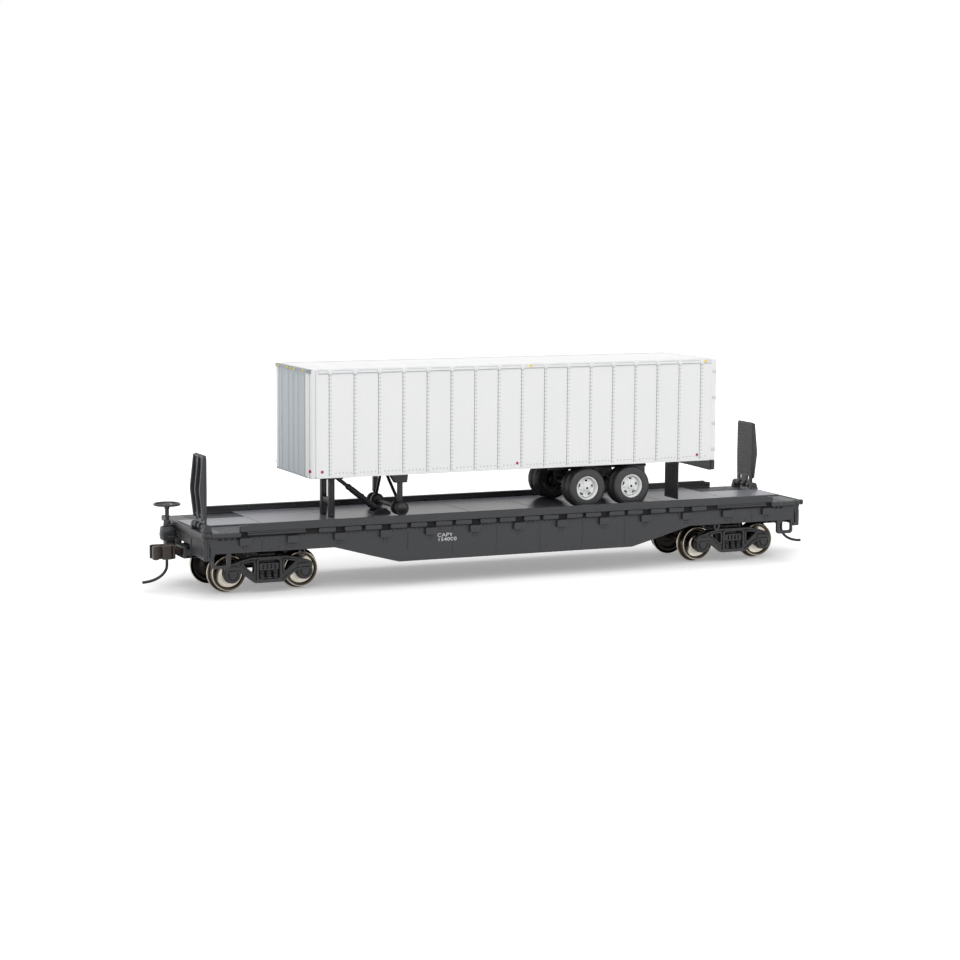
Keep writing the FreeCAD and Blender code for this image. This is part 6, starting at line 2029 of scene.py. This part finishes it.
    def tyres(self, word: str, side: int, hand: str) -> None:
        """Build one end's pair of tyres with three-ribbed treads, shoulder lugs and ringed walls.

        Args:
            word: the axle's name.
            side: -1 or 1.
            hand: the side's name.
        """
        node = f"trailer_tyres_{word}_{hand}"
        room = self.bench.room(node)
        middle = ((room.x[0] + room.x[1]) / 2, (room.z[0] + room.z[1]) / 2)
        radius = (room.z[1] - room.z[0]) / 2
        pair = Shape()
        for low, high in ((11.2, 13.9), (8.0, 10.7)):
            wide = high - low
            wall = [(low + 0.32, 3.34), (low + 0.1, 3.5), (low + 0.02, 4.1), (low, 4.4), (low + 0.05, 4.75),
                    (low + 0.02, 4.85), (low + 0.12, 5.1), (low + 0.3, radius - 0.22),
                    (low + 0.5, radius - 0.04)]
            tread = []
            for centre in (0.36, 0.64):
                cut = low + wide * centre
                tread += [(cut - 0.2, radius), (cut - 0.15, radius - 0.42), (cut + 0.15, radius - 0.42),
                          (cut + 0.2, radius)]
            other = [(low + high - place, r) for place, r in reversed(wall)]
            drawn = [(side * place, r) for place, r in wall + tread + other]
            pair.add(turned(Axis.Y, drawn, middle, 88, True))
            lug = block((-0.11, 0.11), (-0.22, 0.22), (-0.12, 0.03), 0.03)
            for turn in (math.tau * index / 44 for index in range(44)):
                for place in (low + 0.22, high - 0.22):
                    spin = Matrix.Translation((middle[0], side * place, middle[1])) @ Matrix.Rotation(turn,
                                                                                                      4,
                                                                                                      "Y")
                    pair.add(lug.moved(spin @ Matrix.Translation((0, 0, radius - 0.16))))
        self.bench.put(f"road_tyres_{word}_{hand}", pair, TYRE_RUBBER, node, smooth=38.0)

    def flaps(self) -> None:
        """Hang the mud flaps from their bars, with a weighted foot strip."""
        room = self.bench.room("mud_flaps")
        low, high = room.z
        x_low, x_high = room.x
        flaps = Shape()
        inner, outer = 6.3, 14.0
        thin = (x_low + 0.14, x_high - 0.14)
        flaps.both(block(thin, (inner, outer), (low, high), 0.08))
        flaps.both(block((x_low, x_high), (inner + 0.1, outer - 0.1), (high - 1.1, high), 0.08))
        flaps.both(block((x_low + 0.04, x_high - 0.04), (inner + 0.15, outer - 0.15),
                         (low + 0.1, low + 0.6), 0.06))
        for y in spread(inner + 0.9, outer - 0.9, 6):
            flaps.both(block((x_low + 0.06, x_high - 0.06), (y - 0.12, y + 0.12), (low + 0.8, high - 1.3),
                             0.05))
        self.bench.put("mud_flap_pair", flaps, TYRE_RUBBER, "mud_flaps")

    def gussets(self) -> None:
        """Build the wedge-shaped gussets that carry the bumper, flanged along their feet."""
        room = self.bench.room("bumper_gussets")
        low, high = room.z
        left, right = room.x
        gussets = Shape()
        outline = [(left, high), (right, high), (right, low), (right - 0.5, low), (left, high - 0.25)]
        inner, outer = room.y[1] - 1.2, room.y[1]
        gussets.both(extruded(Axis.Y, outline, inner + 0.35, outer - 0.3, 0.05))
        foot = [(left, high - 0.02), (right, low + 0.52), (right, low), (right - 0.5, low),
                (left, high - 0.3)]
        gussets.both(extruded(Axis.Y, foot, inner, outer, 0.06))
        self.bench.put("bumper_gusset_pair", gussets, UNDERGEAR, "bumper_gussets")

    def bumper(self) -> None:
        """Build the rear bumper: an apron over the trailer's rear foot with a rolled lower edge and ribs."""
        room = self.bench.room("rear_bumper")
        low, high = room.z
        left, right = room.x
        half = room.y[1]
        bumper = Shape()
        bumper.add(block((left + 0.3, right - 0.35), (-half + 0.1, half - 0.1), (low + 0.2, high), 0.1))
        bumper.add(block((left, right - 0.08), (-half, half), (low, low + 0.9), 0.25))
        bumper.add(block((left + 0.1, right - 0.1), (-half, half), (high - 0.6, high), 0.15))
        for y in (-half + 0.6, -7.0, 7.0, half - 0.6):
            bumper.add(block((right - 0.5, right - 0.02), (y - 0.55, y + 0.55), (low + 0.1, high - 0.1),
                             0.12))
        self.bench.put("rear_bumper_apron", bumper, UNDERGEAR, "rear_bumper")


@dataclass
class Studio:
    """The floor, the lights, the world and the camera."""

    eye_mm: Point = (-274.10, -599.75, 108.23)
    yaw: float = 24.26
    pitch: float = 7.15
    roll: float = 0.38
    lens: float = 88.44
    world_light: float = 0.42

    def build(self) -> None:
        """Set up everything round the object."""
        self.camera()
        self.floor()
        self.lights()
        self.world()
        bpy.context.scene.view_settings.view_transform = "Standard"

    def camera(self) -> None:
        """Place the camera from its eye point and its three turns."""
        yaw, pitch, roll = (math.radians(a) for a in (self.yaw, self.pitch, self.roll))
        ahead = Vector((math.sin(yaw) * math.cos(pitch), math.cos(yaw) * math.cos(pitch), -math.sin(pitch)))
        level = Vector((math.cos(yaw), -math.sin(yaw), 0))
        upright = level.cross(ahead)
        right = level * math.cos(roll) + upright * math.sin(roll)
        up = upright * math.cos(roll) - level * math.sin(roll)
        turn = Matrix((right, up, -ahead)).transposed().to_4x4()
        data = bpy.data.cameras.new("camera")
        data.lens = self.lens
        data.sensor_width = 36.0
        data.clip_start = 0.01
        data.clip_end = 20.0
        camera = bpy.data.objects.new("camera", data)
        camera.matrix_world = Matrix.Translation(Vector(self.eye_mm) * MM) @ turn
        bpy.context.scene.collection.objects.link(camera)
        bpy.context.scene.camera = camera

    def seen_ray(self, tree: bpy.types.NodeTree) -> bpy.types.NodeSocket:
        """Return 1 for rays that show the background, straight, in a reflection or through glass.

        Args:
            tree: the material's or the world's node tree.

        Returns:
            The socket that holds the 1 or 0.
        """
        rays = add_node(tree, "LightPath").outputs
        both = add_node(tree, "Math", {"operation": "MAXIMUM"},
                        {0: rays["Is Camera Ray"], 1: rays["Is Glossy Ray"]})
        every = {0: both.outputs[0], 1: rays["Is Transmission Ray"]}
        return add_node(tree, "Math", {"operation": "MAXIMUM"}, every).outputs[0]

    def floor(self) -> None:
        """Lay a pale floor that keeps the object's shadow and otherwise shows as white."""
        mesh = bpy.data.meshes.new("floor")
        half = 6.0
        mesh.from_pydata([(-half, -half, 0), (half, -half, 0), (half, half, 0), (-half, half, 0)], [],
                         [(0, 1, 2, 3)])
        floor = bpy.data.objects.new("floor", mesh)
        bpy.context.scene.collection.objects.link(floor)
        sheet = bpy.data.materials.new("pale_floor")
        sheet.use_nodes = True
        tree = sheet.node_tree
        shader = tree.nodes["Principled BSDF"]
        shader.inputs["Base Color"].default_value = linear("f4f4f4")
        shader.inputs["Roughness"].default_value = 0.9
        shader.inputs["Specular IOR Level"].default_value = 0.1
        shader.inputs["Emission Color"].default_value = linear("ffffff")
        place = add_node(tree, "NewGeometry").outputs["Position"]
        away = add_node(tree, "VectorMath", {"operation": "LENGTH"}, {0: place}).outputs["Value"]
        reach = {"From Min": 0.16, "From Max": 0.5, "To Min": 0.3, "To Max": 1.0}
        rise = add_node(tree, "MapRange", reach, {"Value": away}).outputs["Result"]
        glow = add_node(tree, "Math", {"operation": "MULTIPLY"}, {0: self.seen_ray(tree), 1: rise})
        tree.links.new(glow.outputs[0], shader.inputs["Emission Strength"])
        mesh.materials.append(sheet)

    def lights(self) -> None:
        """Hang three soft lamps."""
        for name, spot, size, power in (
            ("key", (-0.5, -0.9, 1.0), 0.9, 6.6),
            ("top", (0.1, 0.1, 1.2), 1.2, 7.2),
            ("fill", (0.9, -0.7, 0.5), 0.8, 2.0),
        ):
            data = bpy.data.lights.new(name, "AREA")
            data.size = size
            data.energy = power
            lamp = bpy.data.objects.new(name, data)
            lamp.location = spot
            lamp.rotation_euler = (Vector((0, 0, 0.02)) - Vector(spot)).to_track_quat("-Z", "Y").to_euler()
            bpy.context.scene.collection.objects.link(lamp)

    def world(self) -> None:
        """Set a white world that shows at full strength and lights at less."""
        world = bpy.data.worlds.new("studio")
        bpy.context.scene.world = world
        world.use_nodes = True
        tree = world.node_tree
        back = tree.nodes["Background"]
        back.inputs["Color"].default_value = linear("ffffff")
        level = add_node(tree, "MapRange", {"To Min": self.world_light, "To Max": 1.0},
                         {"Value": self.seen_ray(tree)})
        tree.links.new(level.outputs["Result"], back.inputs["Strength"])


def main() -> None:
    """Build the looks of the whole model."""
    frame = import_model()
    bench = Bench(frame)
    for part in (Deck, SideSills, Ends, BridgePlates, Underframe, Hitch, TrailerBody, LandingGear,
                 TrailerRunningGear):
        part(bench).build()
    for word, side in (("a", -1), ("b", 1)):
        Truck(bench, word, side * TRUCK_CENTRE).build()
        Coupler(bench, word, side).build()
        for hand in ("left", "right"):
            Wheelset(bench, word, hand).build()
    Studio().build()
    LOG.info("%d pieces made", bench.pieces)


if __name__ == "__main__":
    logging.basicConfig(level=logging.INFO, format="%(message)s")
    main()
